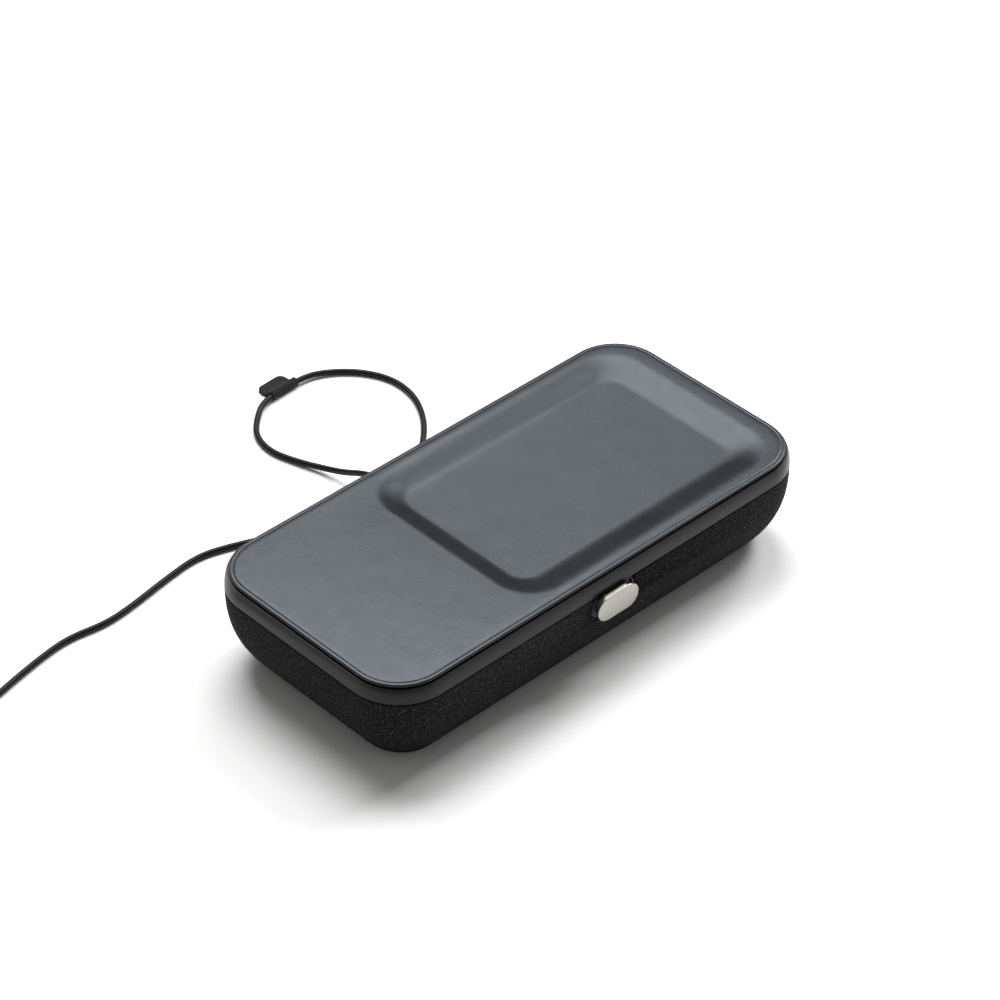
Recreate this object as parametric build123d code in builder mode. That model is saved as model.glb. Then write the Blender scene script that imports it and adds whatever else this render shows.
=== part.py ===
from build123d import *
import math
import os

os.makedirs("parts", exist_ok=True)

# The frame: X runs along the case, Y from front to back, Z up from the table.
# The origin is the middle of the foot's underside. All lengths are millimetres.

# Case outline, seen from above
rim_length = 238.0
rim_width = 115.6
rim_corner = 22.6
band_bulge = 2.2

# Heights of the case above the table
total_height = 48.0
lid_depth = 8.7
foot_height = 2.0
seam_gap = 0.6

# How the base's sides draw in towards the foot
base_draw_in = 12.0
draw_in_power_share = 2.7
corner_draw_in_share = 0.6
level_shares = (0.0, 0.45, 0.7, 0.88, 1.0)

# Overrun of cuts, and the clearances that several pieces share
overrun = 1.0
glue_gap = 0.1
fit_gap = 0.3
screw_gap = 0.05

# Rubber foot
foot_inset = 0.8
foot_edge_chamfer = 0.6

# Fabric cover and moulded base shell
fabric_thickness = 1.0
shell_wall = 2.0
shell_floor = 2.0

# Rim frame and the bosses that carry it
frame_thickness = 3.0
frame_gap = 0.45
boss_radius = 3.2
boss_height = 12.0
boss_edge_distance = 4.0
boss_web_width = 2.0
boss_web_bite = 0.4
frame_boss_hinge_distance = 10.0

# Liner of the storage well
well_end_inset = 15.0
well_side_inset = 13.8
cavity_corner = 12.0
liner_wall = 1.2
liner_floor = 1.2
liner_floor_chamfer = 1.6
flange_width = 3.0
flange_thickness = 1.0
flange_gap = 0.2

# Dividers and the ribs that hold them
divider_thickness = 1.8
divider_headroom = 7.6
divider_corner = 3.0
divider_gap = 0.2
rib_width = 1.2
rib_depth = 1.2
station_pitch = 34.0
station_count = 5
cross_divider_stations = (-1, 1)
finger_notch_radius = 13.0
finger_notch_depth = 5.0
long_rib_size = 1.0

# Charging port in the back wall
port_height = 13.0
bezel_length = 15.6
bezel_height = 9.6
bezel_wall = 1.4
bezel_plate_depth = 6.8
bezel_plate_thickness = 1.2
bezel_proud = 0.3
socket_depth = 5.0
socket_wall = 0.25
socket_gap = 0.08
tongue_width = 6.6
tongue_thickness = 0.7
tongue_length = 4.4
port_board_length = 22.0
port_board_height = 9.0
port_board_thickness = 1.0
port_boss_radius = 1.8
port_boss_x = 8.6

# Small screws: one size for the case, a smaller one for boards, hinges and striker
screw_shank = 1.1
screw_head = 2.2
screw_head_height = 1.1
screw_length = 8.0
small_shank = 0.8
small_head = 1.45
small_head_height = 0.6
small_screw_length = 3.2
panel_screw_length = 4.6
board_screw_length = 2.4
screw_sides = 6
boss_sides = 6

# Hinges at the back of the seam
hinge_end_distance = 49.2
hinge_length = 34.0
hinge_leaf_depth = 9.6
hinge_leaf_thickness = 1.0
hinge_barrel_radius = 1.9
hinge_pin_radius = 1.0
hinge_pin_gap = 0.05
hinge_barrel_sides = 16
hinge_bore_sides = 12
hinge_leaf_gap = 0.2
hinge_knuckle_length = 11.2
hinge_knuckle_gap = 0.3
hinge_barrel_clearance = 0.4
hinge_screw_x = 12.0
hinge_screw_inset = 3.4

# Latch button, stem and hook at the front of the seam
latch_drop = 6.5
plate_length = 23.4
plate_height = 12.0
plate_thickness = 1.0
plate_proud = 3.2
plate_edge_chamfer = 0.3
latch_travel = 2.0
stem_length = 17.7
stem_height = 9.6
stem_corner = 3.5
stem_rise = 0.2
latch_slot_length = 24.6
latch_slot_drop = 6.2
latch_slot_corner = 6.0
latch_pocket_depth = 1.4
latch_bezel_wall = 1.2
stem_reach = 6.7
hook_base_length = 16.0
hook_base_height = 5.4
hook_base_thickness = 1.8
hook_post_length = 8.0
hook_post_thickness = 1.6
hook_nose_reach = 1.2
hook_nose_height = 1.5
hook_nose_lip = 0.4
hook_hold = 0.7
leaf_spring_thickness = 0.35
leaf_spring_width = 2.6
leaf_spring_length = 15.0
latch_cheek_length = 22.0
latch_cheek_thickness = 1.4
latch_back_plate_thickness = 1.2
latch_cheek_drop = 8.0

# Lid band, plate and tray
band_height = 6.6
band_level_shares = (0.0, 0.3, 0.55, 0.8, 1.0)
band_bulge_shares = (1.0, 0.95, 0.84, 0.68, 0.42)
band_groove_depth = 0.7
lid_wall = 2.6
lid_plate = 1.4
leather_thickness = 1.35
leather_gap = 0.05
leather_edge_chamfer = 0.4
charge_zone_length = 78.0
dish_side_margin = 8.3
dish_corner = 17.0
dish_depth = 3.2
dish_slope_width = 10.0
dish_end_margin = 12.0
dish_slope_steps = 3
dish_corner_slope_share = 0.7

# Lid panel, lining and their bosses
lining_thickness = 0.6
panel_thickness = 1.2
panel_gap = 0.2
lid_boss_radius = 2.3
lid_boss_edge_distance = 3.6
lid_boss_end_distance = 21.2
hinge_block_margin = 2.0

# Striker that the hook holds
striker_length = 20.0
striker_thickness = 1.2
striker_edge_gap = 0.5
striker_back_bar = 1.5
striker_corner = 1.5
striker_screw_x = 7.6
striker_lift = 0.8

# Charging pieces inside the lid
charge_end_distance = 39.0
coil_margin = 2.0
coil_inner_share = 0.4375
coil_thickness = 1.0
coil_sides = 24
coil_lead_width = 1.6
ferrite_end_clearance = 13.0
ferrite_board_gap = 4.0
ferrite_thickness = 0.8
pad_margin = 2.0
coil_lead_spacing = 4.0
board_length = 58.0
board_thickness = 1.0
board_edge_distance = 7.4
board_corner_inset = 3.0
board_screw_inset = 4.0
standoff_radius = 1.8
standoff_height = 1.6
chip_height = 0.9
chip_sizes = ((9.0, 9.0), (6.0, 5.0), (5.0, 8.0))
chip_place_shares = (-0.28, 0.02, 0.3)
ribbon_width = 4.0
ribbon_thickness = 0.3
ribbon_flange_gap = 0.9

# Lead, tie and plugs
cord_diameter = 2.8
cord_section_sides = 5
arc_run_share = 0.45
tail_run = 7.0
tail_reach = 21.0
tail_swing = 2.5
coil_sample_step = 0.6
plug_grip_length = 11.4
plug_grip_height = 6.2
plug_grip_depth = 18.0
plug_relief_depth = 8.0
plug_relief_start = 5.2
plug_relief_end = 3.6
plug_relief_sides = 12
plug_edge_chamfer = 1.0
plug_shell_length = 8.25
plug_shell_height = 2.4
plug_shell_wall = 0.3
plug_shell_depth = 5.2
plug_gap = 0.4
coil_turn_pitch = 3.3
coil_turns_each_way = 2
coil_outer_turn_radius = 18.8
coil_layer_step = 3.25
climb_steepness_share = 1.5
far_plug_width = 15.6
far_plug_height = 8.0
far_plug_depth = 20.0
far_plug_corner = 2.4
far_relief_depth = 7.0
far_relief_start = 5.6
far_shell_width = 12.0
far_shell_height = 4.5
far_shell_depth = 12.0
far_shell_wall = 0.4
far_tongue_width = 10.8
far_tongue_thickness = 1.7
far_tongue_depth = 9.5
far_tongue_drop = 0.8
far_window_size = 2.2
far_window_x = 3.0
far_window_depth = 6.0
tie_width = 15.5
tie_ring_sides = 16
tie_thickness = 0.9
tie_flap_length = 9.8
tie_cord_gap = 0.15
tie_layer_gap = 0.1

# Sizes worked out from the ones above
case_length = rim_length + 2 * band_bulge
case_width = rim_width + 2 * band_bulge
case_corner = rim_corner + band_bulge
case_back = case_width / 2
case_front = -case_width / 2
seam_height = total_height - lid_depth
base_top = seam_height - seam_gap / 2
lid_bottom = seam_height + seam_gap / 2
shell_margin = fabric_thickness + glue_gap
inner_margin = shell_margin + shell_wall
latch_bezel_depth = inner_margin
cavity_length = rim_length - 2 * well_end_inset
cavity_width = rim_width - 2 * well_side_inset
liner_bottom = foot_height + shell_floor
cavity_floor = liner_bottom + liner_floor
divider_height = base_top - cavity_floor - divider_gap - divider_headroom
bezel_plate_face = case_back - bezel_plate_depth
latch_height = seam_height - latch_drop
hinge_x = case_length / 2 - hinge_end_distance
frame_boss_x = hinge_x - hinge_length / 2 - frame_boss_hinge_distance
lid_boss_x = case_length / 2 - lid_boss_end_distance
dish_length = rim_length - dish_end_margin - charge_zone_length
dish_width = rim_width - 2 * dish_side_margin
charge_x = charge_end_distance - rim_length / 2
ferrite_size = 2 * (charge_end_distance - ferrite_end_clearance)
board_width = case_width / 2 - lid_wall - board_edge_distance - ferrite_size / 2 - ferrite_board_gap
board_screw_shift = board_width / 2 - board_screw_inset
coil_outer_radius = ferrite_size / 2 - coil_margin
coil_inner_radius = coil_inner_share * coil_outer_radius
pad_size = ferrite_size - 2 * pad_margin
cord_radius = cord_diameter / 2


def draw_in(height):
    """How far the base's side stands inside the seam's outline at a height."""
    depth_share = max(0.0, (base_top - height) / (base_top - foot_height))
    return base_draw_in * depth_share**draw_in_power_share


def base_outline(height, margin):
    """The base's rounded outline at a height, grown by a margin."""
    inward = draw_in(height)
    return RectangleRounded(
        case_length - 2 * inward + 2 * margin,
        case_width - 2 * inward + 2 * margin,
        case_corner - corner_draw_in_share * inward + margin,
    )


def base_form(margin, bottom, top):
    """The base's bowl-sided form between two heights, grown by a margin."""
    with BuildPart() as form:
        for share in level_shares:
            height = top - share * (top - bottom)
            with BuildSketch(Plane.XY.offset(height)):
                base_outline(height, margin)
        loft(ruled=True)
    return form.part


def screw_bodies(plane, places, head, shank, head_height, length, gap=0):
    """Few-sided screws that enter a plane against its axis, heads sunk in it; with a gap, their holes."""
    with BuildPart() as screws:
        with BuildSketch(plane):
            with Locations(*places):
                RegularPolygon(head + gap, screw_sides)
        extrude(amount=-(head_height + gap))
        with BuildSketch(plane):
            with Locations(*places):
                RegularPolygon(shank + gap, screw_sides)
        extrude(amount=-(length + gap))
    return screws.part


def hinge_clearance(low, high):
    """What both halves of the case leave free at a hinge: a round channel and a slot for a leaf."""
    with BuildPart() as channel:
        for side in (-1, 1):
            start = side * hinge_x - hinge_length / 2 - hinge_barrel_clearance
            with BuildSketch(Plane.YZ.offset(start)):
                with Locations((case_back, seam_height)):
                    RegularPolygon(
                        hinge_barrel_radius + hinge_barrel_clearance,
                        hinge_barrel_sides,
                        major_radius=False,
                    )
            extrude(amount=hinge_length + 2 * hinge_barrel_clearance)
        with BuildSketch(Plane.XY.offset(low)):
            with Locations((-hinge_x, case_back), (hinge_x, case_back)):
                Rectangle(
                    hinge_length + 2 * hinge_barrel_clearance,
                    hinge_leaf_slot_depth,
                    align=(Align.CENTER, Align.MAX),
                )
        extrude(amount=high - low)
    return channel.part


# Places that both halves of the hinges share
hinge_leaf_inner_y = case_back - hinge_barrel_radius - hinge_leaf_depth
hinge_leaf_slot_depth = case_back - hinge_leaf_inner_y + hinge_leaf_gap
hinge_plate_back = case_back - hinge_barrel_radius - hinge_barrel_clearance
hinge_screw_y = hinge_leaf_inner_y + hinge_screw_inset
hinge_screw_places = [
    (side * hinge_x + end * hinge_screw_x, hinge_screw_y) for side in (-1, 1) for end in (-1, 1)
]


def hinge_screw_bodies(side, gap=0):
    """The screws of the base's leaves, side 1, or of the lid's, side -1; with a gap their holes."""
    face_height = base_top if side == 1 else lid_bottom
    return screw_bodies(
        Plane(origin=(0, 0, face_height), x_dir=(1, 0, 0), z_dir=(0, 0, side)),
        [(x, side * y) for x, y in hinge_screw_places],
        small_head,
        small_shank,
        small_head_height,
        small_screw_length,
        gap,
    )


# Rubber foot: a plain pad under the whole base
with BuildPart() as base_foot:
    with BuildSketch():
        base_outline(foot_height, -foot_inset)
    extrude(amount=foot_height)
    chamfer(base_foot.faces().sort_by(Axis.Z)[0].edges(), foot_edge_chamfer)
base_foot.part.label = "base_foot"
export_step(base_foot.part, "parts/base_foot.step")

# Places of the four screws that hold the rim frame, beside the long walls
frame_bottom = base_top - frame_thickness
frame_boss_y = case_width / 2 - inner_margin - boss_edge_distance
frame_screw_places = [(end * frame_boss_x, side * frame_boss_y) for end in (-1, 1) for side in (-1, 1)]
long_web_reach = case_width / 2 - inner_margin + boss_web_bite - frame_boss_y


def frame_screw_bodies(gap=0):
    """The rim frame's screws, or with a gap their holes."""
    return screw_bodies(
        Plane.XY.offset(base_top),
        frame_screw_places,
        screw_head,
        screw_shank,
        screw_head_height,
        screw_length,
        gap,
    )


# Places that the latch slot and the port share
latch_slot_bottom = latch_height - latch_slot_drop
latch_slot_top = base_top + overrun
port_wall_bite = case_width / 2 - bezel_plate_face + bezel_plate_thickness + overrun
port_board_front = bezel_plate_face - bezel_plate_thickness - socket_depth
port_board_back = port_board_front - port_board_thickness
port_screw_places = [(-port_boss_x, port_height), (port_boss_x, port_height)]


def port_screw_bodies(gap=0):
    """The port board's screws, or with a gap their holes."""
    return screw_bodies(
        Plane.XZ.offset(-port_board_back),
        port_screw_places,
        small_head,
        small_shank,
        small_head_height,
        small_screw_length,
        gap,
    )


def latch_slot(side_gap):
    """The upright slot in the front wall for the stem: round at the bottom, open at the seam."""
    with BuildSketch(Plane.XZ.offset(case_width / 2 + overrun)) as outline:
        with Locations((0, latch_slot_bottom + side_gap)):
            Rectangle(
                latch_slot_length - 2 * side_gap,
                latch_slot_top - latch_slot_bottom - side_gap,
                align=(Align.CENTER, Align.MIN),
            )
        low_corners = outline.vertices().group_by(Axis.Z)[0]
        fillet(low_corners, latch_slot_corner - side_gap)
    return outline.sketch


# Moulded base shell: a tub with screw bosses, a slot for the latch and a hole for the port
with BuildPart() as base_shell:
    add(base_form(-shell_margin, foot_height, base_top))
    add(base_form(-inner_margin, foot_height + shell_floor, base_top), mode=Mode.SUBTRACT)
    with BuildSketch(Plane.XY.offset(frame_bottom)):
        with Locations(*frame_screw_places):
            RegularPolygon(boss_radius, boss_sides)
        for x, y in frame_screw_places:
            with Locations((x, y + math.copysign(long_web_reach / 2, y))):
                Rectangle(boss_web_width, long_web_reach)
    extrude(amount=-boss_height)
    add(frame_screw_bodies(screw_gap), mode=Mode.SUBTRACT)
    # Two bosses carry the port board
    with BuildSketch(Plane.XZ.offset(-port_board_front)):
        with Locations(*port_screw_places):
            RegularPolygon(port_boss_radius, boss_sides)
    extrude(until=Until.NEXT, dir=(0, 1, 0))
    add(port_screw_bodies(screw_gap), mode=Mode.SUBTRACT)
    with BuildSketch(Plane.XZ.offset(-case_back)):
        with Locations((0, port_height)):
            SlotOverall(bezel_length + 2 * glue_gap, bezel_height + 2 * glue_gap)
    extrude(amount=port_wall_bite, mode=Mode.SUBTRACT)
    extrude(latch_slot(0), amount=-(overrun + latch_bezel_depth + overrun), mode=Mode.SUBTRACT)
    add(hinge_clearance(base_top - hinge_leaf_thickness, base_top + overrun), mode=Mode.SUBTRACT)
base_shell.part.label = "base_shell"
export_step(base_shell.part, "parts/base_shell.step")

# Woven cover: one skin round the shell's sides, cut out at the latch, the port and the hinges
with BuildPart() as fabric_cover:
    add(base_form(0, foot_height, base_top))
    add(base_form(-fabric_thickness, foot_height, base_top), mode=Mode.SUBTRACT)
    with BuildSketch(Plane.XZ.offset(-case_back)):
        with Locations((0, port_height)):
            SlotOverall(bezel_length + 2 * glue_gap, bezel_height + 2 * glue_gap)
    extrude(amount=port_wall_bite, mode=Mode.SUBTRACT)
    extrude(latch_slot(0), amount=-(overrun + latch_bezel_depth), mode=Mode.SUBTRACT)
    add(hinge_clearance(base_top - hinge_leaf_thickness, base_top + overrun), mode=Mode.SUBTRACT)
fabric_cover.part.label = "fabric_cover"
export_step(fabric_cover.part, "parts/fabric_cover.step")

# Depths of the latch, from the front wall inwards
plate_face = case_front - plate_proud
plate_back = plate_face + plate_thickness
latch_bezel_back = case_front + latch_bezel_depth
stem_back = plate_back + stem_reach
hook_base_back = stem_back + hook_base_thickness
hook_post_front = hook_base_back
hook_post_back = hook_post_front + hook_post_thickness
hook_nose_front = hook_post_front - hook_nose_reach
stem_centre = latch_height + stem_rise
hook_slot_back = hook_post_back + latch_travel + fit_gap
latch_back_plate_face = hook_slot_back

# Rim frame: a flat ring between shell and liner, with the latch's cheeks under it
with BuildPart() as rim_frame:
    with BuildSketch(Plane.XY.offset(frame_bottom)):
        base_outline(frame_bottom, -(inner_margin + frame_gap))
        RectangleRounded(
            cavity_length + 2 * liner_wall + 2 * flange_gap,
            cavity_width + 2 * liner_wall + 2 * flange_gap,
            cavity_corner + liner_wall + flange_gap,
            mode=Mode.SUBTRACT,
        )
    extrude(amount=frame_thickness)
    with BuildSketch(Plane.XY.offset(base_top - flange_thickness)):
        RectangleRounded(
            cavity_length + 2 * liner_wall + 2 * flange_width + 2 * flange_gap,
            cavity_width + 2 * liner_wall + 2 * flange_width + 2 * flange_gap,
            cavity_corner + liner_wall + flange_width + flange_gap,
        )
    extrude(amount=flange_thickness + overrun, mode=Mode.SUBTRACT)
    add(hinge_clearance(base_top - hinge_leaf_thickness, base_top + overrun), mode=Mode.SUBTRACT)
    add(frame_screw_bodies(screw_gap), mode=Mode.SUBTRACT)
    add(hinge_screw_bodies(1, screw_gap), mode=Mode.SUBTRACT)
    # Cheeks and back plate that guide the hook and hold the leaf spring
    with BuildSketch(Plane.XY.offset(frame_bottom)):
        with Locations((0, latch_back_plate_face)):
            Rectangle(
                latch_cheek_length + 2 * latch_cheek_thickness,
                latch_back_plate_thickness,
                align=(Align.CENTER, Align.MIN),
            )
        for sign in (-1, 1):
            with Locations((sign * (latch_cheek_length + latch_cheek_thickness) / 2, hook_base_back)):
                Rectangle(
                    latch_cheek_thickness,
                    latch_back_plate_face - hook_base_back,
                    align=(Align.CENTER, Align.MIN),
                )
    extrude(amount=-latch_cheek_drop)
    # Room for the stem, and the slot that the hook stands in
    with BuildSketch(Plane.XY.offset(base_top + overrun)):
        with Locations((0, case_front)):
            Rectangle(
                stem_length + 2 * fit_gap,
                stem_back + latch_travel + fit_gap - case_front,
                align=(Align.CENTER, Align.MIN),
            )
        with Locations((0, hook_nose_front - fit_gap)):
            Rectangle(
                hook_post_length + 2 * fit_gap,
                hook_slot_back - hook_nose_front + fit_gap,
                align=(Align.CENTER, Align.MIN),
            )
    extrude(amount=-(frame_thickness + 2 * overrun), mode=Mode.SUBTRACT)
    # Slot that the flat lead comes up through, beside the left hinge
    port_ribbon_x = -(hinge_x + hinge_length / 2 + 2 * ribbon_width)
    port_ribbon_y = cavity_width / 2 + liner_wall + flange_width + ribbon_flange_gap
    with BuildSketch(Plane.XY.offset(base_top + overrun)):
        with Locations((port_ribbon_x, port_ribbon_y)):
            Rectangle(ribbon_width + 2 * fit_gap, ribbon_thickness + 2 * fit_gap)
    extrude(amount=-(frame_thickness + 2 * overrun), mode=Mode.SUBTRACT)
rim_frame.part.label = "rim_frame"
export_step(rim_frame.part, "parts/rim_frame.step")

# Screws of the rim frame
frame_screws = frame_screw_bodies()
frame_screws.label = "frame_screws"
export_step(frame_screws, "parts/frame_screws.step")

# Inner liner: the storage well, its flange, and pairs of ribs that take the dividers
with BuildPart() as inner_liner:
    with BuildSketch(Plane.XY.offset(liner_bottom)):
        RectangleRounded(
            cavity_length + 2 * liner_wall,
            cavity_width + 2 * liner_wall,
            cavity_corner + liner_wall,
        )
    extrude(amount=base_top - liner_bottom)
    with BuildSketch(Plane.XY.offset(base_top - flange_thickness)):
        RectangleRounded(
            cavity_length + 2 * liner_wall + 2 * flange_width,
            cavity_width + 2 * liner_wall + 2 * flange_width,
            cavity_corner + liner_wall + flange_width,
        )
    extrude(amount=flange_thickness)
    with BuildSketch(Plane.XY.offset(cavity_floor)):
        RectangleRounded(cavity_length, cavity_width, cavity_corner)
    extrude(amount=base_top - cavity_floor + overrun, mode=Mode.SUBTRACT)
    floor_face = inner_liner.faces().filter_by(Axis.Z).filter_by_position(
        Axis.Z, cavity_floor - screw_gap, cavity_floor + screw_gap
    )[0]
    chamfer(floor_face.edges(), liner_floor_chamfer)
    rib_offset = divider_thickness / 2 + divider_gap + rib_width / 2
    with BuildSketch(Plane.XY.offset(cavity_floor)):
        for wall_sign in (-1, 1):
            for rib_sign in (-1, 1):
                with Locations((rib_sign * rib_offset, wall_sign * cavity_width / 2)):
                    with GridLocations(station_pitch, 0, station_count, 1):
                        Rectangle(rib_width, 2 * rib_depth)
    extrude(amount=divider_height)
    # What of the ribs stands outside the wall is trimmed away
    with BuildSketch(Plane.XY.offset(liner_bottom)):
        Rectangle(case_length, case_width)
        RectangleRounded(
            cavity_length + 2 * liner_wall,
            cavity_width + 2 * liner_wall,
            cavity_corner + liner_wall,
            mode=Mode.SUBTRACT,
        )
    extrude(amount=base_top - flange_thickness - liner_bottom, mode=Mode.SUBTRACT)
inner_liner.part.label = "inner_liner"
export_step(inner_liner.part, "parts/inner_liner.step")

# Two dividers across the well, each between two pairs of ribs, with a finger notch and middle ribs
divider_span = cavity_width - 2 * divider_gap
divider_bottom = cavity_floor + divider_gap
divider_top = divider_bottom + divider_height
long_rib_offset = divider_thickness / 2 + divider_gap + long_rib_size / 2
for number, station in enumerate(cross_divider_stations, start=1):
    divider_x = station * station_pitch
    with BuildPart() as cross_divider:
        with BuildSketch(Plane.YZ.offset(divider_x - divider_thickness / 2)) as divider_side:
            with Locations((0, divider_bottom)):
                Rectangle(divider_span, divider_height, align=(Align.CENTER, Align.MIN))
            fillet(divider_side.vertices(), divider_corner)
            with Locations((0, divider_top + finger_notch_radius - finger_notch_depth)):
                Circle(finger_notch_radius, mode=Mode.SUBTRACT)
        extrude(amount=divider_thickness)
        with BuildSketch(Plane.XY.offset(divider_bottom)):
            with Locations((divider_x, -long_rib_offset), (divider_x, long_rib_offset)):
                Rectangle(divider_thickness + 2 * long_rib_size, long_rib_size)
        extrude(amount=divider_height - finger_notch_depth - overrun)
    cross_divider.part.label = f"cross_divider_{number}"
    export_step(cross_divider.part, f"parts/cross_divider_{number}.step")

# One divider lengthwise between them, held by their middle ribs
long_divider_start = cross_divider_stations[0] * station_pitch + divider_thickness / 2 + divider_gap
long_divider_end = cross_divider_stations[1] * station_pitch - divider_thickness / 2 - divider_gap
with BuildPart() as long_divider:
    with BuildSketch(Plane.XZ.offset(-divider_thickness / 2)) as long_side:
        with Locations(((long_divider_start + long_divider_end) / 2, divider_bottom)):
            Rectangle(
                long_divider_end - long_divider_start,
                divider_height - finger_notch_depth,
                align=(Align.CENTER, Align.MIN),
            )
        fillet(long_side.vertices().group_by(Axis.Z)[-1], divider_corner)
    extrude(amount=divider_thickness)
long_divider.part.label = "long_divider"
export_step(long_divider.part, "parts/long_divider.step")

# Bezel of the port: a short oval tunnel that follows the wall, with a plate behind
with BuildPart() as port_bezel:
    with BuildSketch(Plane.XZ.offset(-(bezel_plate_face - bezel_plate_thickness))):
        with Locations((0, port_height)):
            SlotOverall(bezel_length, bezel_height)
    extrude(amount=-(case_back - bezel_plate_face + bezel_plate_thickness))
    add(base_form(bezel_proud, foot_height, base_top), mode=Mode.INTERSECT)
    with BuildSketch(Plane.XZ.offset(-bezel_plate_face)):
        with Locations((0, port_height)):
            SlotOverall(bezel_length - 2 * bezel_wall, bezel_height - 2 * bezel_wall)
    extrude(amount=-(case_back - bezel_plate_face), mode=Mode.SUBTRACT)
    with BuildSketch(Plane.XZ.offset(-(bezel_plate_face + overrun))):
        with Locations((0, port_height)):
            SlotOverall(
                plug_shell_length + 2 * (socket_gap + socket_wall + screw_gap),
                plug_shell_height + 2 * (socket_gap + socket_wall + screw_gap),
            )
    extrude(amount=bezel_plate_thickness + 2 * overrun, mode=Mode.SUBTRACT)
port_bezel.part.label = "port_bezel"
export_step(port_bezel.part, "parts/port_bezel.step")

# Metal socket behind the bezel, open at the mouth
with BuildPart() as port_socket:
    with BuildSketch(Plane.XZ.offset(-bezel_plate_face)):
        with Locations((0, port_height)):
            SlotOverall(
                plug_shell_length + 2 * (socket_gap + socket_wall),
                plug_shell_height + 2 * (socket_gap + socket_wall),
            )
    extrude(amount=bezel_plate_thickness + socket_depth)
    with BuildSketch(Plane.XZ.offset(-bezel_plate_face)):
        with Locations((0, port_height)):
            SlotOverall(plug_shell_length + 2 * socket_gap, plug_shell_height + 2 * socket_gap)
    extrude(amount=bezel_plate_thickness + socket_depth - socket_wall, mode=Mode.SUBTRACT)
port_socket.part.label = "port_socket"
export_step(port_socket.part, "parts/port_socket.step")

# Contact tongue inside the socket
socket_back_wall = port_board_front + socket_wall
with BuildPart() as socket_tongue:
    with BuildSketch(Plane.XZ.offset(-socket_back_wall)):
        with Locations((0, port_height)):
            RectangleRounded(tongue_width, tongue_thickness, tongue_thickness / 4)
    extrude(amount=-tongue_length)
socket_tongue.part.label = "socket_tongue"
export_step(socket_tongue.part, "parts/socket_tongue.step")

# Port board, upright behind the socket
with BuildPart() as port_board:
    with BuildSketch(Plane.XZ.offset(-port_board_front)):
        with Locations((0, port_height)):
            Rectangle(port_board_length, port_board_height)
    extrude(amount=port_board_thickness)
    add(port_screw_bodies(screw_gap), mode=Mode.SUBTRACT)
port_board.part.label = "port_board"
export_step(port_board.part, "parts/port_board.step")

port_screws = port_screw_bodies()
port_screws.label = "port_screws"
export_step(port_screws, "parts/port_screws.step")

# Latch bezel: a U-shaped cup that lines the slot, with a pocket round the stem's hole
with BuildPart() as latch_bezel:
    extrude(latch_slot(glue_gap), amount=-(overrun + latch_bezel_depth))
    add(base_form(0, foot_height, base_top), mode=Mode.INTERSECT)
    extrude(latch_slot(latch_bezel_wall), amount=-(overrun + latch_pocket_depth), mode=Mode.SUBTRACT)
    with BuildSketch(Plane.XZ.offset(-latch_bezel_back)):
        with Locations((0, stem_centre)):
            RectangleRounded(stem_length + 2 * fit_gap, stem_height + 2 * fit_gap, stem_corner + fit_gap)
    extrude(amount=latch_bezel_depth, mode=Mode.SUBTRACT)
latch_bezel.part.label = "latch_bezel"
export_step(latch_bezel.part, "parts/latch_bezel.step")

# Leaf spring: a bowed strip between the hook's back and the frame's back plate
hook_base_bottom = stem_centre - hook_base_height / 2
spring_crown = hook_base_back + screw_gap
spring_end = latch_back_plate_face - screw_gap
with BuildPart() as latch_spring:
    with BuildSketch(Plane.XY.offset(hook_base_bottom)):
        with BuildLine():
            front_arc = ThreePointArc(
                (-leaf_spring_length / 2, spring_end - leaf_spring_thickness),
                (0, spring_crown),
                (leaf_spring_length / 2, spring_end - leaf_spring_thickness),
            )
            back_arc = ThreePointArc(
                (-leaf_spring_length / 2, spring_end),
                (0, spring_crown + leaf_spring_thickness),
                (leaf_spring_length / 2, spring_end),
            )
            Line(front_arc @ 0, back_arc @ 0)
            Line(front_arc @ 1, back_arc @ 1)
        make_face()
    extrude(amount=leaf_spring_width)
latch_spring.part.label = "latch_spring"
export_step(latch_spring.part, "parts/latch_spring.step")

# Latch button: an oval metal plate
with BuildPart() as latch_plate:
    with BuildSketch(Plane.XZ.offset(-plate_back)):
        with Locations((0, latch_height)):
            SlotOverall(plate_length, plate_height)
    extrude(amount=plate_thickness)
    chamfer(latch_plate.faces().sort_by(Axis.Y)[0].edges(), plate_edge_chamfer)
latch_plate.part.label = "latch_plate"
export_step(latch_plate.part, "parts/latch_plate.step")

# Stem behind the plate
with BuildPart() as latch_stem:
    with BuildSketch(Plane.XZ.offset(-stem_back)):
        with Locations((0, stem_centre)):
            RectangleRounded(stem_length, stem_height, stem_corner)
    extrude(amount=stem_reach)
latch_stem.part.label = "latch_stem"
export_step(latch_stem.part, "parts/latch_stem.step")

# Heights of the striker and of the hook's nose over it
striker_bottom = lid_bottom + striker_lift
striker_top = striker_bottom + striker_thickness
hook_nose_bottom = striker_top + fit_gap
hook_nose_top = hook_nose_bottom + hook_nose_height
hook_post_bottom = hook_base_bottom + leaf_spring_width + fit_gap

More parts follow.
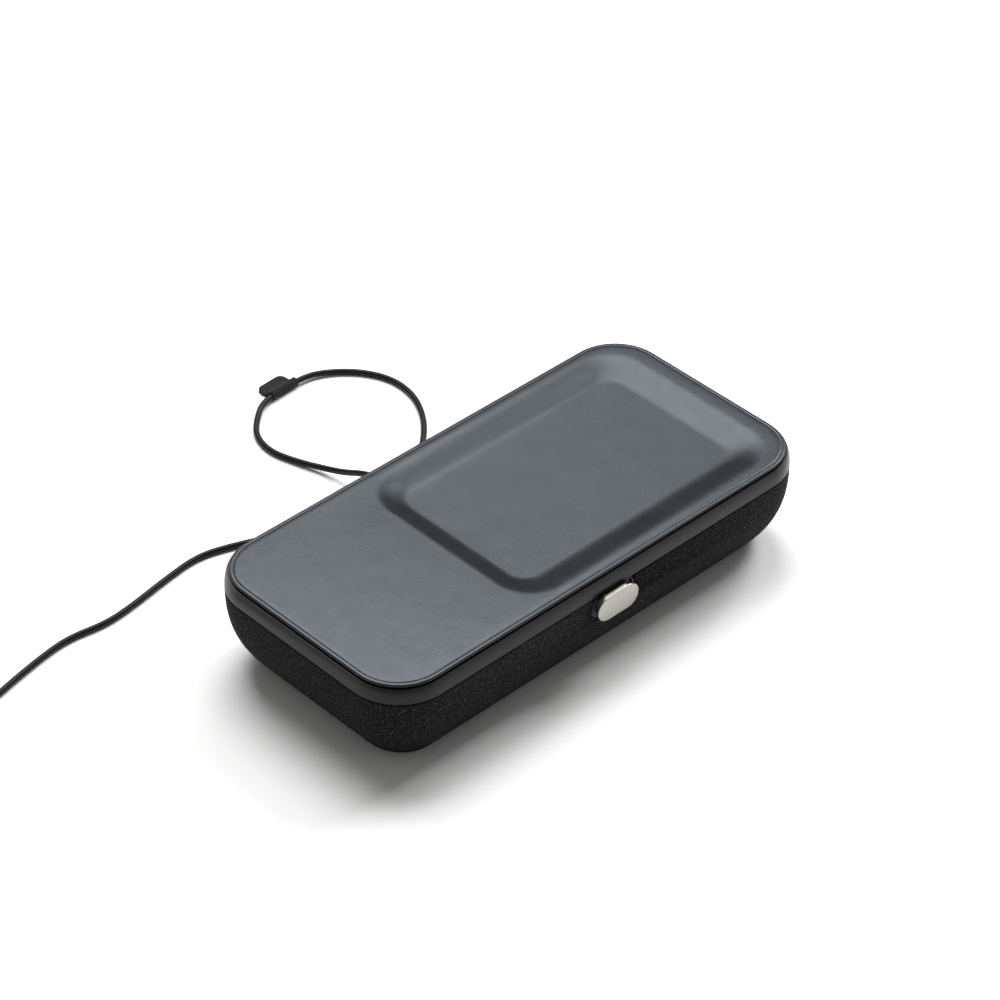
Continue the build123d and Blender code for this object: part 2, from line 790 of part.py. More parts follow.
# Hook: a foot on the stem's end, a post that stands up into the lid, and a sloped nose
with BuildPart() as latch_hook:
    with BuildSketch(Plane.XZ.offset(-hook_base_back)):
        with Locations((0, stem_centre)):
            Rectangle(hook_base_length, hook_base_height)
    extrude(amount=hook_base_thickness)
    with BuildSketch(Plane.YZ.offset(-hook_post_length / 2)):
        with BuildLine():
            Polyline(
                (hook_post_front, hook_post_bottom),
                (hook_post_back, hook_post_bottom),
                (hook_post_back, hook_nose_top),
                (hook_post_front, hook_nose_top),
                (hook_nose_front, hook_nose_bottom + hook_nose_lip),
                (hook_nose_front, hook_nose_bottom),
                (hook_post_front, hook_nose_bottom),
                close=True,
            )
        make_face()
    extrude(amount=hook_post_length)
latch_hook.part.label = "latch_hook"
export_step(latch_hook.part, "parts/latch_hook.step")


def hinge_leaves(low, spans, screw_side):
    """The leaves of both hinges: plates with screw holes, and knuckles over spans along the pin."""
    with BuildPart() as leaves:
        with BuildSketch(Plane.XY.offset(low)):
            with Locations((-hinge_x, hinge_leaf_inner_y), (hinge_x, hinge_leaf_inner_y)):
                Rectangle(
                    hinge_length,
                    hinge_plate_back - hinge_leaf_inner_y,
                    align=(Align.CENTER, Align.MIN),
                )
        extrude(amount=hinge_leaf_thickness)
        for side in (-1, 1):
            for start, end in spans:
                with BuildSketch(Plane.YZ.offset(side * hinge_x + start)):
                    with Locations((case_back, seam_height)):
                        RegularPolygon(hinge_barrel_radius, hinge_barrel_sides)
                    with Locations((hinge_plate_back, low)):
                        Rectangle(
                            case_back - hinge_plate_back,
                            hinge_leaf_thickness,
                            align=(Align.MIN, Align.MIN),
                        )
                    with Locations((case_back, seam_height)):
                        RegularPolygon(
                            hinge_pin_radius + hinge_pin_gap,
                            hinge_bore_sides,
                            major_radius=False,
                            mode=Mode.SUBTRACT,
                        )
                extrude(amount=end - start)
        add(hinge_screw_bodies(screw_side, screw_gap), mode=Mode.SUBTRACT)
    return leaves.part


# Hinges: the base's leaves have the middle knuckles, the lid's leaves the two outer ones
base_spans = [(-hinge_knuckle_length / 2, hinge_knuckle_length / 2)]
lid_spans = [
    (-hinge_length / 2, -hinge_knuckle_length / 2 - hinge_knuckle_gap),
    (hinge_knuckle_length / 2 + hinge_knuckle_gap, hinge_length / 2),
]
hinge_base_leaves = hinge_leaves(base_top - hinge_leaf_thickness, base_spans, 1)
hinge_base_leaves.label = "hinge_base_leaves"
export_step(hinge_base_leaves, "parts/hinge_base_leaves.step")
hinge_lid_leaves = hinge_leaves(lid_bottom, lid_spans, -1)
hinge_lid_leaves.label = "hinge_lid_leaves"
export_step(hinge_lid_leaves, "parts/hinge_lid_leaves.step")

with BuildPart() as hinge_pins:
    for side in (-1, 1):
        with BuildSketch(Plane.YZ.offset(side * hinge_x - hinge_length / 2)):
            with Locations((case_back, seam_height)):
                Circle(hinge_pin_radius)
        extrude(amount=hinge_length)
hinge_pins.part.label = "hinge_pins"
export_step(hinge_pins.part, "parts/hinge_pins.step")

# Screws of the hinge leaves, heads flush with the seam
hinge_base_screws = hinge_screw_bodies(1)
hinge_base_screws.label = "hinge_base_screws"
export_step(hinge_base_screws, "parts/hinge_base_screws.step")
hinge_lid_screws = hinge_screw_bodies(-1)
hinge_lid_screws.label = "hinge_lid_screws"
export_step(hinge_lid_screws, "parts/hinge_lid_screws.step")

# Flat lead from the port board's edge, along behind the liner and up through the rim frame
ribbon_wall_y = port_board_back + glue_gap
ribbon_jog_top = frame_bottom - fit_gap
with BuildPart() as port_ribbon:
    with BuildSketch(Plane.XZ.offset(-ribbon_wall_y)):
        with Locations((port_ribbon_x - ribbon_width / 2, port_height)):
            Rectangle(
                ribbon_width / 2 - port_ribbon_x - port_board_length / 2 - screw_gap,
                ribbon_width,
                align=(Align.MIN, Align.CENTER),
            )
        with Locations((port_ribbon_x, port_height)):
            Rectangle(ribbon_width, ribbon_jog_top - port_height, align=(Align.CENTER, Align.MIN))
    extrude(amount=-ribbon_thickness)
    with BuildSketch(Plane.XY.offset(ribbon_jog_top)):
        with Locations((port_ribbon_x, ribbon_wall_y)):
            Rectangle(
                ribbon_width,
                port_ribbon_y + ribbon_thickness / 2 - ribbon_wall_y,
                align=(Align.CENTER, Align.MIN),
            )
    extrude(amount=-ribbon_thickness)
    with BuildSketch(Plane.XY.offset(ribbon_jog_top)):
        with Locations((port_ribbon_x, port_ribbon_y)):
            Rectangle(ribbon_width, ribbon_thickness)
    extrude(amount=base_top - ribbon_jog_top)
port_ribbon.part.label = "port_ribbon"
export_step(port_ribbon.part, "parts/port_ribbon.step")

# Heights inside the lid
leather_bottom = total_height - leather_thickness
lid_shell_top = leather_bottom - leather_gap
lid_plate_bottom = lid_shell_top - lid_plate
band_top = lid_bottom + band_height
panel_bottom = lid_bottom + lining_thickness
panel_top = panel_bottom + panel_thickness
dish_x = rim_length / 2 - dish_end_margin - dish_length / 2


def dish_form(level):
    """The tray's hollow below a level: outlines that shrink with depth on an S-shaped slope."""
    with BuildPart() as dish:
        for step in range(dish_slope_steps + 1):
            slope_share = step / dish_slope_steps
            depth_share = slope_share**2 * (3 - 2 * slope_share)
            inset = slope_share * dish_slope_width
            with BuildSketch(Plane.XY.offset(level - depth_share * dish_depth)):
                with Locations((dish_x, 0)):
                    RectangleRounded(
                        dish_length - 2 * inset,
                        dish_width - 2 * inset,
                        dish_corner - dish_corner_slope_share * inset,
                    )
        loft(ruled=True)
    return dish.part


# Places of the bosses, blocks and posts under the lid's plate
lid_boss_y = case_width / 2 - lid_wall - lid_boss_edge_distance
lid_boss_places = [(end * lid_boss_x, side * lid_boss_y) for end in (-1, 1) for side in (-1, 1)]
hinge_block_length = hinge_length + 2 * hinge_block_margin
hinge_block_front = hinge_leaf_inner_y - hinge_block_margin
hinge_block_back = case_back - lid_wall + panel_gap
striker_front = case_front + lid_wall + striker_edge_gap
striker_back = hook_slot_back + striker_back_bar
striker_screw_y = (striker_front + striker_back) / 2
striker_screw_places = [(-striker_screw_x, striker_screw_y), (striker_screw_x, striker_screw_y)]
board_y = case_front + lid_wall + board_edge_distance + board_width / 2
board_screw_places = [
    (charge_x + end * (board_length / 2 - board_corner_inset), board_y + end * board_screw_shift)
    for end in (-1, 1)
]
board_top = lid_plate_bottom - standoff_height
board_bottom = board_top - board_thickness


def lid_screw_bodies(level, places, head, shank, length, gap=0):
    """Screws that enter the lid from below, or with a gap their holes."""
    face = Plane(origin=(0, 0, level), x_dir=(1, 0, 0), z_dir=(0, 0, -1))
    return screw_bodies(face, [(x, -y) for x, y in places], head, shank, small_head_height, length, gap)


def panel_screw_bodies(gap=0):
    """The screws of the lid's panel."""
    return lid_screw_bodies(
        panel_bottom, lid_boss_places, screw_head, screw_shank, panel_screw_length, gap
    )


def striker_screw_bodies(gap=0):
    """The screws of the striker."""
    return lid_screw_bodies(
        striker_bottom, striker_screw_places, small_head, small_shank, small_screw_length, gap
    )


def board_screw_bodies(gap=0):
    """The screws of the charging board."""
    return lid_screw_bodies(
        board_bottom, board_screw_places, small_head, small_shank, board_screw_length, gap
    )


# Lid shell: a bulging band closed by a plate with the tray in it, open below
with BuildPart() as lid_shell:
    for level_share, bulge_share in zip(band_level_shares, band_bulge_shares):
        with BuildSketch(Plane.XY.offset(lid_bottom + level_share * band_height)):
            RectangleRounded(
                rim_length + 2 * band_bulge * bulge_share,
                rim_width + 2 * band_bulge * bulge_share,
                rim_corner + band_bulge * bulge_share,
            )
    loft(ruled=True)
    with BuildSketch(Plane.XY.offset(band_top)):
        RectangleRounded(
            rim_length - 2 * band_groove_depth,
            rim_width - 2 * band_groove_depth,
            rim_corner - band_groove_depth,
        )
    extrude(amount=lid_shell_top - band_top)
    with BuildSketch(Plane.XY.offset(lid_bottom)):
        RectangleRounded(case_length - 2 * lid_wall, case_width - 2 * lid_wall, case_corner - lid_wall)
    extrude(amount=lid_plate_bottom - lid_bottom, mode=Mode.SUBTRACT)
    add(dish_form(lid_plate_bottom))
    with BuildSketch(Plane.XY.offset(lid_bottom)):
        with Locations((-hinge_x, hinge_block_front), (hinge_x, hinge_block_front)):
            Rectangle(
                hinge_block_length,
                hinge_block_back - hinge_block_front,
                align=(Align.CENTER, Align.MIN),
            )
    extrude(amount=lid_plate_bottom - lid_bottom)
    with BuildSketch(Plane.XY.offset(panel_top)):
        with Locations(*lid_boss_places):
            RegularPolygon(lid_boss_radius, boss_sides)
    extrude(amount=lid_plate_bottom - panel_top)
    with BuildSketch(Plane.XY.offset(striker_top)):
        with Locations(*striker_screw_places):
            RegularPolygon(standoff_radius, boss_sides)
    extrude(amount=lid_plate_bottom - striker_top)
    with BuildSketch(Plane.XY.offset(board_top)):
        with Locations(*board_screw_places):
            RegularPolygon(standoff_radius, boss_sides)
    extrude(amount=standoff_height)
    add(dish_form(lid_shell_top), mode=Mode.SUBTRACT)
    # Holes for the screws of the panel, the striker, the board and the hinges
    add(panel_screw_bodies(screw_gap), mode=Mode.SUBTRACT)
    add(striker_screw_bodies(screw_gap), mode=Mode.SUBTRACT)
    add(board_screw_bodies(screw_gap), mode=Mode.SUBTRACT)
    add(hinge_screw_bodies(-1, screw_gap), mode=Mode.SUBTRACT)
    add(hinge_clearance(lid_bottom - overrun, lid_bottom + hinge_leaf_thickness), mode=Mode.SUBTRACT)
lid_shell.part.label = "lid_shell"
export_step(lid_shell.part, "parts/lid_shell.step")

# Leather top: a sheet with eased edges that follows the tray
with BuildPart() as leather_top:
    with BuildSketch(Plane.XY.offset(leather_bottom)):
        RectangleRounded(rim_length, rim_width, rim_corner)
    extrude(amount=leather_thickness)
    chamfer(leather_top.edges().group_by(Axis.Z)[0], leather_edge_chamfer)
    chamfer(leather_top.edges().group_by(Axis.Z)[-1], leather_edge_chamfer)
    add(dish_form(leather_bottom))
    add(dish_form(total_height), mode=Mode.SUBTRACT)
leather_top.part.label = "leather_top"
export_step(leather_top.part, "parts/leather_top.step")


def panel_outline():
    """The lid's inner outline, notched for the hinge blocks and the striker, slotted for the lead."""
    RectangleRounded(
        case_length - 2 * (lid_wall + panel_gap),
        case_width - 2 * (lid_wall + panel_gap),
        case_corner - lid_wall - panel_gap,
    )
    with Locations((-hinge_x, hinge_block_front - panel_gap), (hinge_x, hinge_block_front - panel_gap)):
        Rectangle(
            hinge_block_length + 2 * panel_gap,
            case_back - hinge_block_front + panel_gap,
            align=(Align.CENTER, Align.MIN),
            mode=Mode.SUBTRACT,
        )
    with Locations((0, striker_back + fit_gap)):
        Rectangle(
            striker_length + 2 * fit_gap,
            striker_back + fit_gap - case_front,
            align=(Align.CENTER, Align.MAX),
            mode=Mode.SUBTRACT,
        )
    with Locations((port_ribbon_x, port_ribbon_y)):
        Rectangle(ribbon_width + 2 * fit_gap, ribbon_thickness + 2 * fit_gap, mode=Mode.SUBTRACT)


# Panel that closes the lid from below, and the felt lining on it
with BuildPart() as lid_panel:
    with BuildSketch(Plane.XY.offset(panel_bottom)):
        panel_outline()
    extrude(amount=panel_thickness)
    add(panel_screw_bodies(screw_gap), mode=Mode.SUBTRACT)
lid_panel.part.label = "lid_panel"
export_step(lid_panel.part, "parts/lid_panel.step")

with BuildPart() as lid_lining:
    with BuildSketch(Plane.XY.offset(lid_bottom)):
        panel_outline()
    extrude(amount=lining_thickness)
lid_lining.part.label = "lid_lining"
export_step(lid_lining.part, "parts/lid_lining.step")

# Screws of the lid's panel, heads flush under the lining
lid_screws = panel_screw_bodies()
lid_screws.label = "lid_screws"
export_step(lid_screws, "parts/lid_screws.step")

# Striker: a steel plate whose front bar the hook's nose holds down
with BuildPart() as latch_striker:
    with BuildSketch(Plane.XY.offset(striker_bottom)) as striker_outline:
        with Locations((0, striker_front)):
            Rectangle(striker_length, striker_back - striker_front, align=(Align.CENTER, Align.MIN))
        fillet(striker_outline.vertices(), striker_corner)
        with Locations((0, hook_nose_front + hook_hold)):
            Rectangle(
                hook_post_length + 2 * fit_gap,
                hook_slot_back - hook_nose_front - hook_hold,
                align=(Align.CENTER, Align.MIN),
                mode=Mode.SUBTRACT,
            )
    extrude(amount=striker_thickness)
    add(striker_screw_bodies(screw_gap), mode=Mode.SUBTRACT)
latch_striker.part.label = "latch_striker"
export_step(latch_striker.part, "parts/latch_striker.step")

striker_screws = striker_screw_bodies()
striker_screws.label = "striker_screws"
export_step(striker_screws, "parts/striker_screws.step")

# Charging coil under the lid's plate: a flat winding with two leads that turn down to the board
coil_top = lid_plate_bottom - glue_gap
coil_bottom = coil_top - coil_thickness
board_back_edge = board_y + board_width / 2
coil_lead_end = board_back_edge - coil_lead_width
with BuildPart() as charging_coil:
    with BuildSketch(Plane.XY.offset(coil_bottom)):
        with Locations((charge_x, 0)):
            RegularPolygon(coil_outer_radius, coil_sides)
        for side in (-1, 1):
            with Locations((charge_x + side * coil_lead_spacing / 2, 0)):
                Rectangle(coil_lead_width, -coil_lead_end, align=(Align.CENTER, Align.MAX))
        with Locations((charge_x, 0)):
            RegularPolygon(coil_inner_radius, coil_sides, mode=Mode.SUBTRACT)
    extrude(amount=coil_thickness)
    with BuildSketch(Plane.XY.offset(coil_bottom)):
        for side in (-1, 1):
            with Locations((charge_x + side * coil_lead_spacing / 2, coil_lead_end)):
                Rectangle(coil_lead_width, coil_lead_width, align=(Align.CENTER, Align.MIN))
    extrude(amount=board_top - coil_bottom)
charging_coil.part.label = "charging_coil"
export_step(charging_coil.part, "parts/charging_coil.step")

# Ferrite sheet under the coil, and the foam pad that presses both against the plate
ferrite_top = coil_bottom - glue_gap
ferrite_bottom = ferrite_top - ferrite_thickness
with BuildPart() as ferrite_plate:
    with BuildSketch(Plane.XY.offset(ferrite_bottom)):
        with Locations((charge_x, 0)):
            Rectangle(ferrite_size, ferrite_size)
    extrude(amount=ferrite_thickness)
ferrite_plate.part.label = "ferrite_plate"
export_step(ferrite_plate.part, "parts/ferrite_plate.step")

with BuildPart() as foam_pad:
    with BuildSketch(Plane.XY.offset(panel_top + glue_gap)):
        with Locations((charge_x, 0)):
            RectangleRounded(pad_size, pad_size, divider_corner)
    extrude(amount=ferrite_bottom - panel_top - 2 * glue_gap)
foam_pad.part.label = "foam_pad"
export_step(foam_pad.part, "parts/foam_pad.step")

# Charging board on two posts, with its components and screws below it
with BuildPart() as charging_board:
    with BuildSketch(Plane.XY.offset(board_bottom)):
        with Locations((charge_x, board_y)):
            Rectangle(board_length, board_width)
    extrude(amount=board_thickness)
    add(board_screw_bodies(screw_gap), mode=Mode.SUBTRACT)
charging_board.part.label = "charging_board"
export_step(charging_board.part, "parts/charging_board.step")

with BuildPart() as board_components:
    with BuildSketch(Plane.XY.offset(board_bottom)):
        for place_share, (chip_length, chip_width) in zip(chip_place_shares, chip_sizes):
            with Locations((charge_x + place_share * board_length, board_y)):
                Rectangle(chip_length, chip_width)
    extrude(amount=-chip_height)
board_components.part.label = "board_components"
export_step(board_components.part, "parts/board_components.step")

board_screws = board_screw_bodies()
board_screws.label = "board_screws"
export_step(board_screws, "parts/board_screws.step")

# Flat lead in the lid, from its slot beside the hinge round the ferrite sheet to the board
lead_top = panel_top + glue_gap + ribbon_thickness
lead_outer_x = charge_x - ferrite_size / 2 - ribbon_width
lead_turn_y = ferrite_size / 2 + ribbon_width
with BuildPart() as charger_ribbon:
    with BuildSketch(Plane.XY.offset(lead_top)):
        with Locations((port_ribbon_x, lead_turn_y - ribbon_width / 2)):
            Rectangle(
                ribbon_width,
                port_ribbon_y + ribbon_thickness / 2 - lead_turn_y + ribbon_width / 2,
                align=(Align.CENTER, Align.MIN),
            )
        with Locations((lead_outer_x - ribbon_width / 2, lead_turn_y)):
            Rectangle(
                port_ribbon_x - lead_outer_x + ribbon_width,
                ribbon_width,
                align=(Align.MIN, Align.CENTER),
            )
        with Locations((lead_outer_x, lead_turn_y)):
            Rectangle(ribbon_width, lead_turn_y - board_y, align=(Align.CENTER, Align.MAX))
    extrude(amount=-ribbon_thickness)
    with BuildSketch(Plane.XY.offset(lead_top)):
        with Locations((port_ribbon_x, port_ribbon_y)):
            Rectangle(ribbon_width, ribbon_thickness)
    extrude(amount=lid_bottom - lead_top)
    with BuildSketch(Plane.XY.offset(lead_top - ribbon_thickness)):
        with Locations((lead_outer_x, board_y)):
            Rectangle(ribbon_width, ribbon_width)
    extrude(amount=board_bottom - lead_top + ribbon_thickness)
charger_ribbon.part.label = "charger_ribbon"
export_step(charger_ribbon.part, "parts/charger_ribbon.step")

# Plug in the port: a metal shell, and a grip with a tapered strain relief
plug_front = bezel_plate_face + plug_gap
plug_back = plug_front + plug_grip_depth
relief_back = plug_back + plug_relief_depth
with BuildPart() as port_plug:
    with BuildSketch(Plane.XZ.offset(-plug_front)):
        with Locations((0, port_height)):
            SlotOverall(plug_grip_length, plug_grip_height)
    extrude(amount=-plug_grip_depth)
    chamfer(port_plug.faces().sort_by(Axis.Y)[-1].edges(), plug_edge_chamfer)
    with BuildSketch(Plane.XZ.offset(-plug_back)):
        with Locations((0, port_height)):
            RegularPolygon(plug_relief_start / 2, plug_relief_sides)
    with BuildSketch(Plane.XZ.offset(-relief_back)):
        with Locations((0, port_height)):
            RegularPolygon(plug_relief_end / 2, plug_relief_sides)
    loft(ruled=True)
port_plug.part.label = "port_plug"
export_step(port_plug.part, "parts/port_plug.step")

with BuildPart() as port_plug_shell:
    with BuildSketch(Plane.XZ.offset(-plug_front)):
        with Locations((0, port_height)):
            SlotOverall(plug_shell_length, plug_shell_height)
            SlotOverall(
                plug_shell_length - 2 * plug_shell_wall,
                plug_shell_height - 2 * plug_shell_wall,
                mode=Mode.SUBTRACT,
            )
    extrude(amount=plug_shell_depth)
port_plug_shell.part.label = "port_plug_shell"
export_step(port_plug_shell.part, "parts/port_plug_shell.step")

# Route of the lead behind the case: out of the plug, down, one loop with the tie, and away to the left.
# Each point is given from the plug's strain relief: along X, away from the case, and its height.
route_to_tie = [
    (0, 0, port_height),
    (0, 5.4, 13.0),
    (-0.7, 14.9, 10.4),
    (-2.2, 25.4, 5.6),
    (-3.4, 34.9, 2.6),
    (-9.0, 49.9, 1.4),
    (-13.0, 63.9, 1.4),
    (-10.2, 76.9, 1.4),
    (-1.5, 86.2, 1.6),
]
route_in_tie = [(8.5, 93.3, 2.45), (33.5, 94.7, 2.45)]
route_from_tie = [
    (45.2, 90.7, 1.6),
    (56.5, 80.7, 1.4),
    (63.4, 66.4, 1.4),
    (62.2, 50.4, 1.4),
    (54.5, 35.4, 1.4),
    (42.5, 22.4, 1.4),
    (27.5, 11.9, 1.4),
    (9.0, 5.9, 1.4),
    (-12.0, 4.9, 1.4),
    (-33.0, 9.4, 1.4),
    (-52.0, 17.4, 1.4),
    (-69.0, 24.9, 1.4),
    (-84.0, 29.4, 1.4),
    (-104.0, 26.8, 1.4),
    (-124.0, 23.2, 1.4),
    (-140.0, 21.6, 1.4),
    (-157.5, 25.0, 1.4),
    (-172.0, 23.4, 1.4),
    (-188.0, 20.2, 1.4),
    (-203.0, 16.7, 1.4),
    (-217.5, 14.2, 1.4),
]
route_points = [(x, relief_back + away, z) for x, away, z in route_to_tie + route_in_tie + route_from_tie]
tie_run_start, tie_run_end = [Vector(x, relief_back + away, z) for x, away, z in route_in_tie]


def corner_radii(points):
    """For each corner of a route, nearly the largest radius that its two runs allow."""
    radii = []
    for before, corner, after in zip(points, points[1:], points[2:]):
        run_in = Vector(*corner) - Vector(*before)
        run_out = Vector(*after) - Vector(*corner)
        half_turn = math.radians(run_in.get_angle(run_out)) / 2
        shorter_run = min(run_in.length, run_out.length)
        radii.append(arc_run_share * shorter_run / math.tan(half_turn))
    return radii


def cord_section():
    """The lead's section: a few-sided outline whose corners lie on its real diameter."""
    return RegularPolygon(cord_radius, cord_section_sides)


def report_tube(name, part, length):
    """Prints how a tube's volume compares with its section times its length."""
    section_area = cord_section_sides / 2 * cord_radius**2 * math.sin(2 * math.pi / cord_section_sides)
    expected = section_area * length
    print(f"{name}: length {length:.1f}, volume {part.volume:.1f}, section x length {expected:.1f}")


with BuildPart() as power_cord:
    with BuildLine() as cord_route:
        FilletPolyline(*route_points, radius=corner_radii(route_points))
    with BuildSketch(Plane(origin=cord_route.wire() @ 0, x_dir=(1, 0, 0), z_dir=cord_route.wire() % 0)):
        cord_section()
    sweep(path=cord_route.wire())
power_cord.part.label = "power_cord"
export_step(power_cord.part, "parts/power_cord.step")
print("corner radii:", [round(radius, 1) for radius in corner_radii(route_points)])
report_tube("power_cord", power_cord.part, cord_route.wire().length)

# Folded tie: a strap that goes round the lead and lies double beside it
tie_ring_inner = cord_radius + tie_cord_gap
tie_ring_outer = tie_ring_inner + tie_thickness
tie_flap_height = 2 * tie_thickness + tie_layer_gap
tie_run = tie_run_end - tie_run_start
tie_along = Vector(tie_run.X, tie_run.Y, 0).normalized()
tie_across = Vector(-tie_along.Y, tie_along.X, 0)
tie_middle = (tie_run_start + tie_run_end) / 2
tie_start = Vector(tie_middle.X, tie_middle.Y, 0) - tie_along * (tie_width / 2)
with BuildPart() as cable_tie:
    with BuildSketch(Plane(origin=tie_start, x_dir=tie_across, z_dir=tie_along)):
        with Locations((0, tie_ring_outer)):
            RegularPolygon(tie_ring_outer, tie_ring_sides)
        with BuildLine():
            Polyline(
                (0, 0),
                (tie_flap_length, 0),
                (tie_flap_length, tie_flap_height),
                (2 * tie_ring_outer, tie_flap_height),
                (tie_ring_outer / 2, tie_ring_outer + tie_ring_outer * math.sqrt(3) / 2),
                (0, tie_ring_outer),
                close=True,
            )
        make_face()
        with Locations((0, tie_ring_outer)):
            RegularPolygon(tie_ring_inner, tie_ring_sides, mode=Mode.SUBTRACT)
    extrude(amount=tie_width)
cable_tie.part.label = "cable_tie"
export_step(cable_tie.part, "parts/cable_tie.step")

# Put-away coil: one tube that spirals in on the table, climbs a layer, and spirals out on top
coil_entry = Vector(*route_points[-1])
coil_heading = (coil_entry - Vector(*route_points[-2])).normalized()
coil_inward = Vector(coil_heading.Y, -coil_heading.X, 0)
coil_half_turns = 4 * coil_turns_each_way
climb_half_turn = 2 * coil_turns_each_way


def join_with_two_arcs(start, start_direction, end, end_direction):
    """Two arcs from one point and direction to another, smooth where they meet."""
    span = end - start
    directions = start_direction + end_direction
    spread = 2 * (1 - start_direction.dot(end_direction))
    reach = (
        math.sqrt(span.dot(directions) ** 2 + spread * span.dot(span)) - span.dot(directions)
    ) / spread
    middle = (start + end + (start_direction - end_direction) * reach) / 2
    first_arc = TangentArc(start, middle, tangent=start_direction)
    TangentArc(middle, end, tangent=first_arc % 1)


with BuildPart() as cord_coil:
    with BuildLine() as coil_route:
        turn_start = coil_entry
        for half_turn in range(coil_half_turns):
            steps_in = min(half_turn, coil_half_turns - half_turn)
            turn_radius = coil_outer_turn_radius - steps_in * coil_turn_pitch / 2
            direction = coil_heading if half_turn % 2 == 0 else -coil_heading
            across = coil_inward if half_turn % 2 == 0 else -coil_inward
            turn_end = turn_start + across * (2 * turn_radius)
            if half_turn == climb_half_turn:
                rise = Vector(0, 0, coil_layer_step)
                turn_end = turn_end + rise
                quarter = turn_start + across * turn_radius + direction * turn_radius + rise / 2
                # The slope is steepest half way up
                slope = Vector(0, 0, climb_steepness_share * coil_layer_step / (math.pi * turn_radius))
                quarter_direction = (across + slope).normalized()
                join_with_two_arcs(turn_start, direction, quarter, quarter_direction)
                join_with_two_arcs(quarter, quarter_direction, turn_end, -direction)
            else:
                TangentArc(turn_start, turn_end, tangent=direction)
            turn_start = turn_end
    with BuildSketch(Plane(origin=coil_entry, x_dir=coil_inward, z_dir=coil_heading)):
        cord_section()
    sweep(path=coil_route.wire())
coil_exit = turn_start
cord_coil.part.label = "cord_coil"
export_step(cord_coil.part, "parts/cord_coil.step")
report_tube("cord_coil", cord_coil.part, coil_route.wire().length)

# The coil's least gap to itself, measured between points along its middle line
coil_path = coil_route.wire()
sample_count = round(coil_path.length / coil_sample_step)
samples = [coil_path @ (number / sample_count) for number in range(sample_count + 1)]
samples = [(sample.X, sample.Y, sample.Z) for sample in samples]
samples_apart = round(math.pi * cord_diameter / coil_sample_step)
least_gap = min(
    math.dist(samples[first], samples[second]) - cord_diameter
    for first in range(sample_count + 1)
    for second in range(first + samples_apart, sample_count + 1)
)
print(f"cord_coil: least gap to itself {least_gap:.2f}")

# Tail of the lead, from the coil's end to the far plug that lies beside it
tail_lead_out = coil_exit + coil_heading * tail_run
tail_low = coil_exit + coil_heading * tail_reach - coil_inward * tail_swing
tail_low.Z = far_plug_height / 2
tail_direction = (tail_low - Vector(tail_lead_out.X, tail_lead_out.Y, tail_low.Z)).normalized()
tail_end = tail_low + tail_direction * tail_run
tail_points = [tuple(coil_exit), tuple(tail_lead_out), tuple(tail_low), tuple(tail_end)]
with BuildPart() as cord_tail:
    with BuildLine() as tail_route:
        FilletPolyline(*tail_points, radius=corner_radii(tail_points))
    with BuildSketch(Plane(origin=tail_route.wire() @ 0, x_dir=coil_inward, z_dir=tail_route.wire() % 0)):
        cord_section()
    sweep(path=tail_route.wire())
cord_tail.part.label = "cord_tail"
export_step(cord_tail.part, "parts/cord_tail.step")
print("tail radii:", [round(radius, 1) for radius in corner_radii(tail_points)])
report_tube("cord_tail", cord_tail.part, tail_route.wire().length)

# Far plug: a tapered strain relief and a flat grip, a metal shell and the contact tongue in it
tail_across = Vector(tail_direction.Y, -tail_direction.X, 0)


def far_plug_plane(distance):
    """A plane square to the far plug, at a distance from the end of the lead."""
    return Plane(origin=tail_end + tail_direction * distance, x_dir=-tail_across, z_dir=tail_direction)


far_grip_end = far_relief_depth + far_plug_depth
with BuildPart() as supply_plug:
    with BuildSketch(far_plug_plane(0)):
        RegularPolygon(plug_relief_end / 2, plug_relief_sides)
    with BuildSketch(far_plug_plane(far_relief_depth)):
        RegularPolygon(far_relief_start / 2, plug_relief_sides)
    loft(ruled=True)
    with BuildSketch(far_plug_plane(far_relief_depth)):
        RectangleRounded(far_plug_width, far_plug_height, far_plug_corner)
    extrude(amount=far_plug_depth)
supply_plug.part.label = "supply_plug"
export_step(supply_plug.part, "parts/supply_plug.step")

with BuildPart() as supply_plug_shell:
    with BuildSketch(far_plug_plane(far_grip_end)):
        Rectangle(far_shell_width, far_shell_height)
        Rectangle(
            far_shell_width - 2 * far_shell_wall,
            far_shell_height - 2 * far_shell_wall,
            mode=Mode.SUBTRACT,
        )
    extrude(amount=far_shell_depth)
    window_plane = far_plug_plane(far_grip_end + far_window_depth)
    with BuildSketch(Plane(origin=window_plane.origin, x_dir=window_plane.x_dir, z_dir=(0, 0, 1))):
        with Locations((-far_window_x, 0), (far_window_x, 0)):
            Rectangle(far_window_size, far_window_size)
    extrude(amount=far_shell_height, mode=Mode.SUBTRACT)
supply_plug_shell.part.label = "supply_plug_shell"
export_step(supply_plug_shell.part, "parts/supply_plug_shell.step")

with BuildPart() as supply_plug_tongue:
    with BuildSketch(far_plug_plane(far_grip_end)):
        with Locations((0, -far_tongue_drop)):
            Rectangle(far_tongue_width, far_tongue_thickness)
    extrude(amount=far_tongue_depth)
supply_plug_tongue.part.label = "supply_plug_tongue"
export_step(supply_plug_tongue.part, "parts/supply_plug_tongue.step")
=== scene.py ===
import math

import bmesh
import bpy
from mathutils import Matrix, Vector


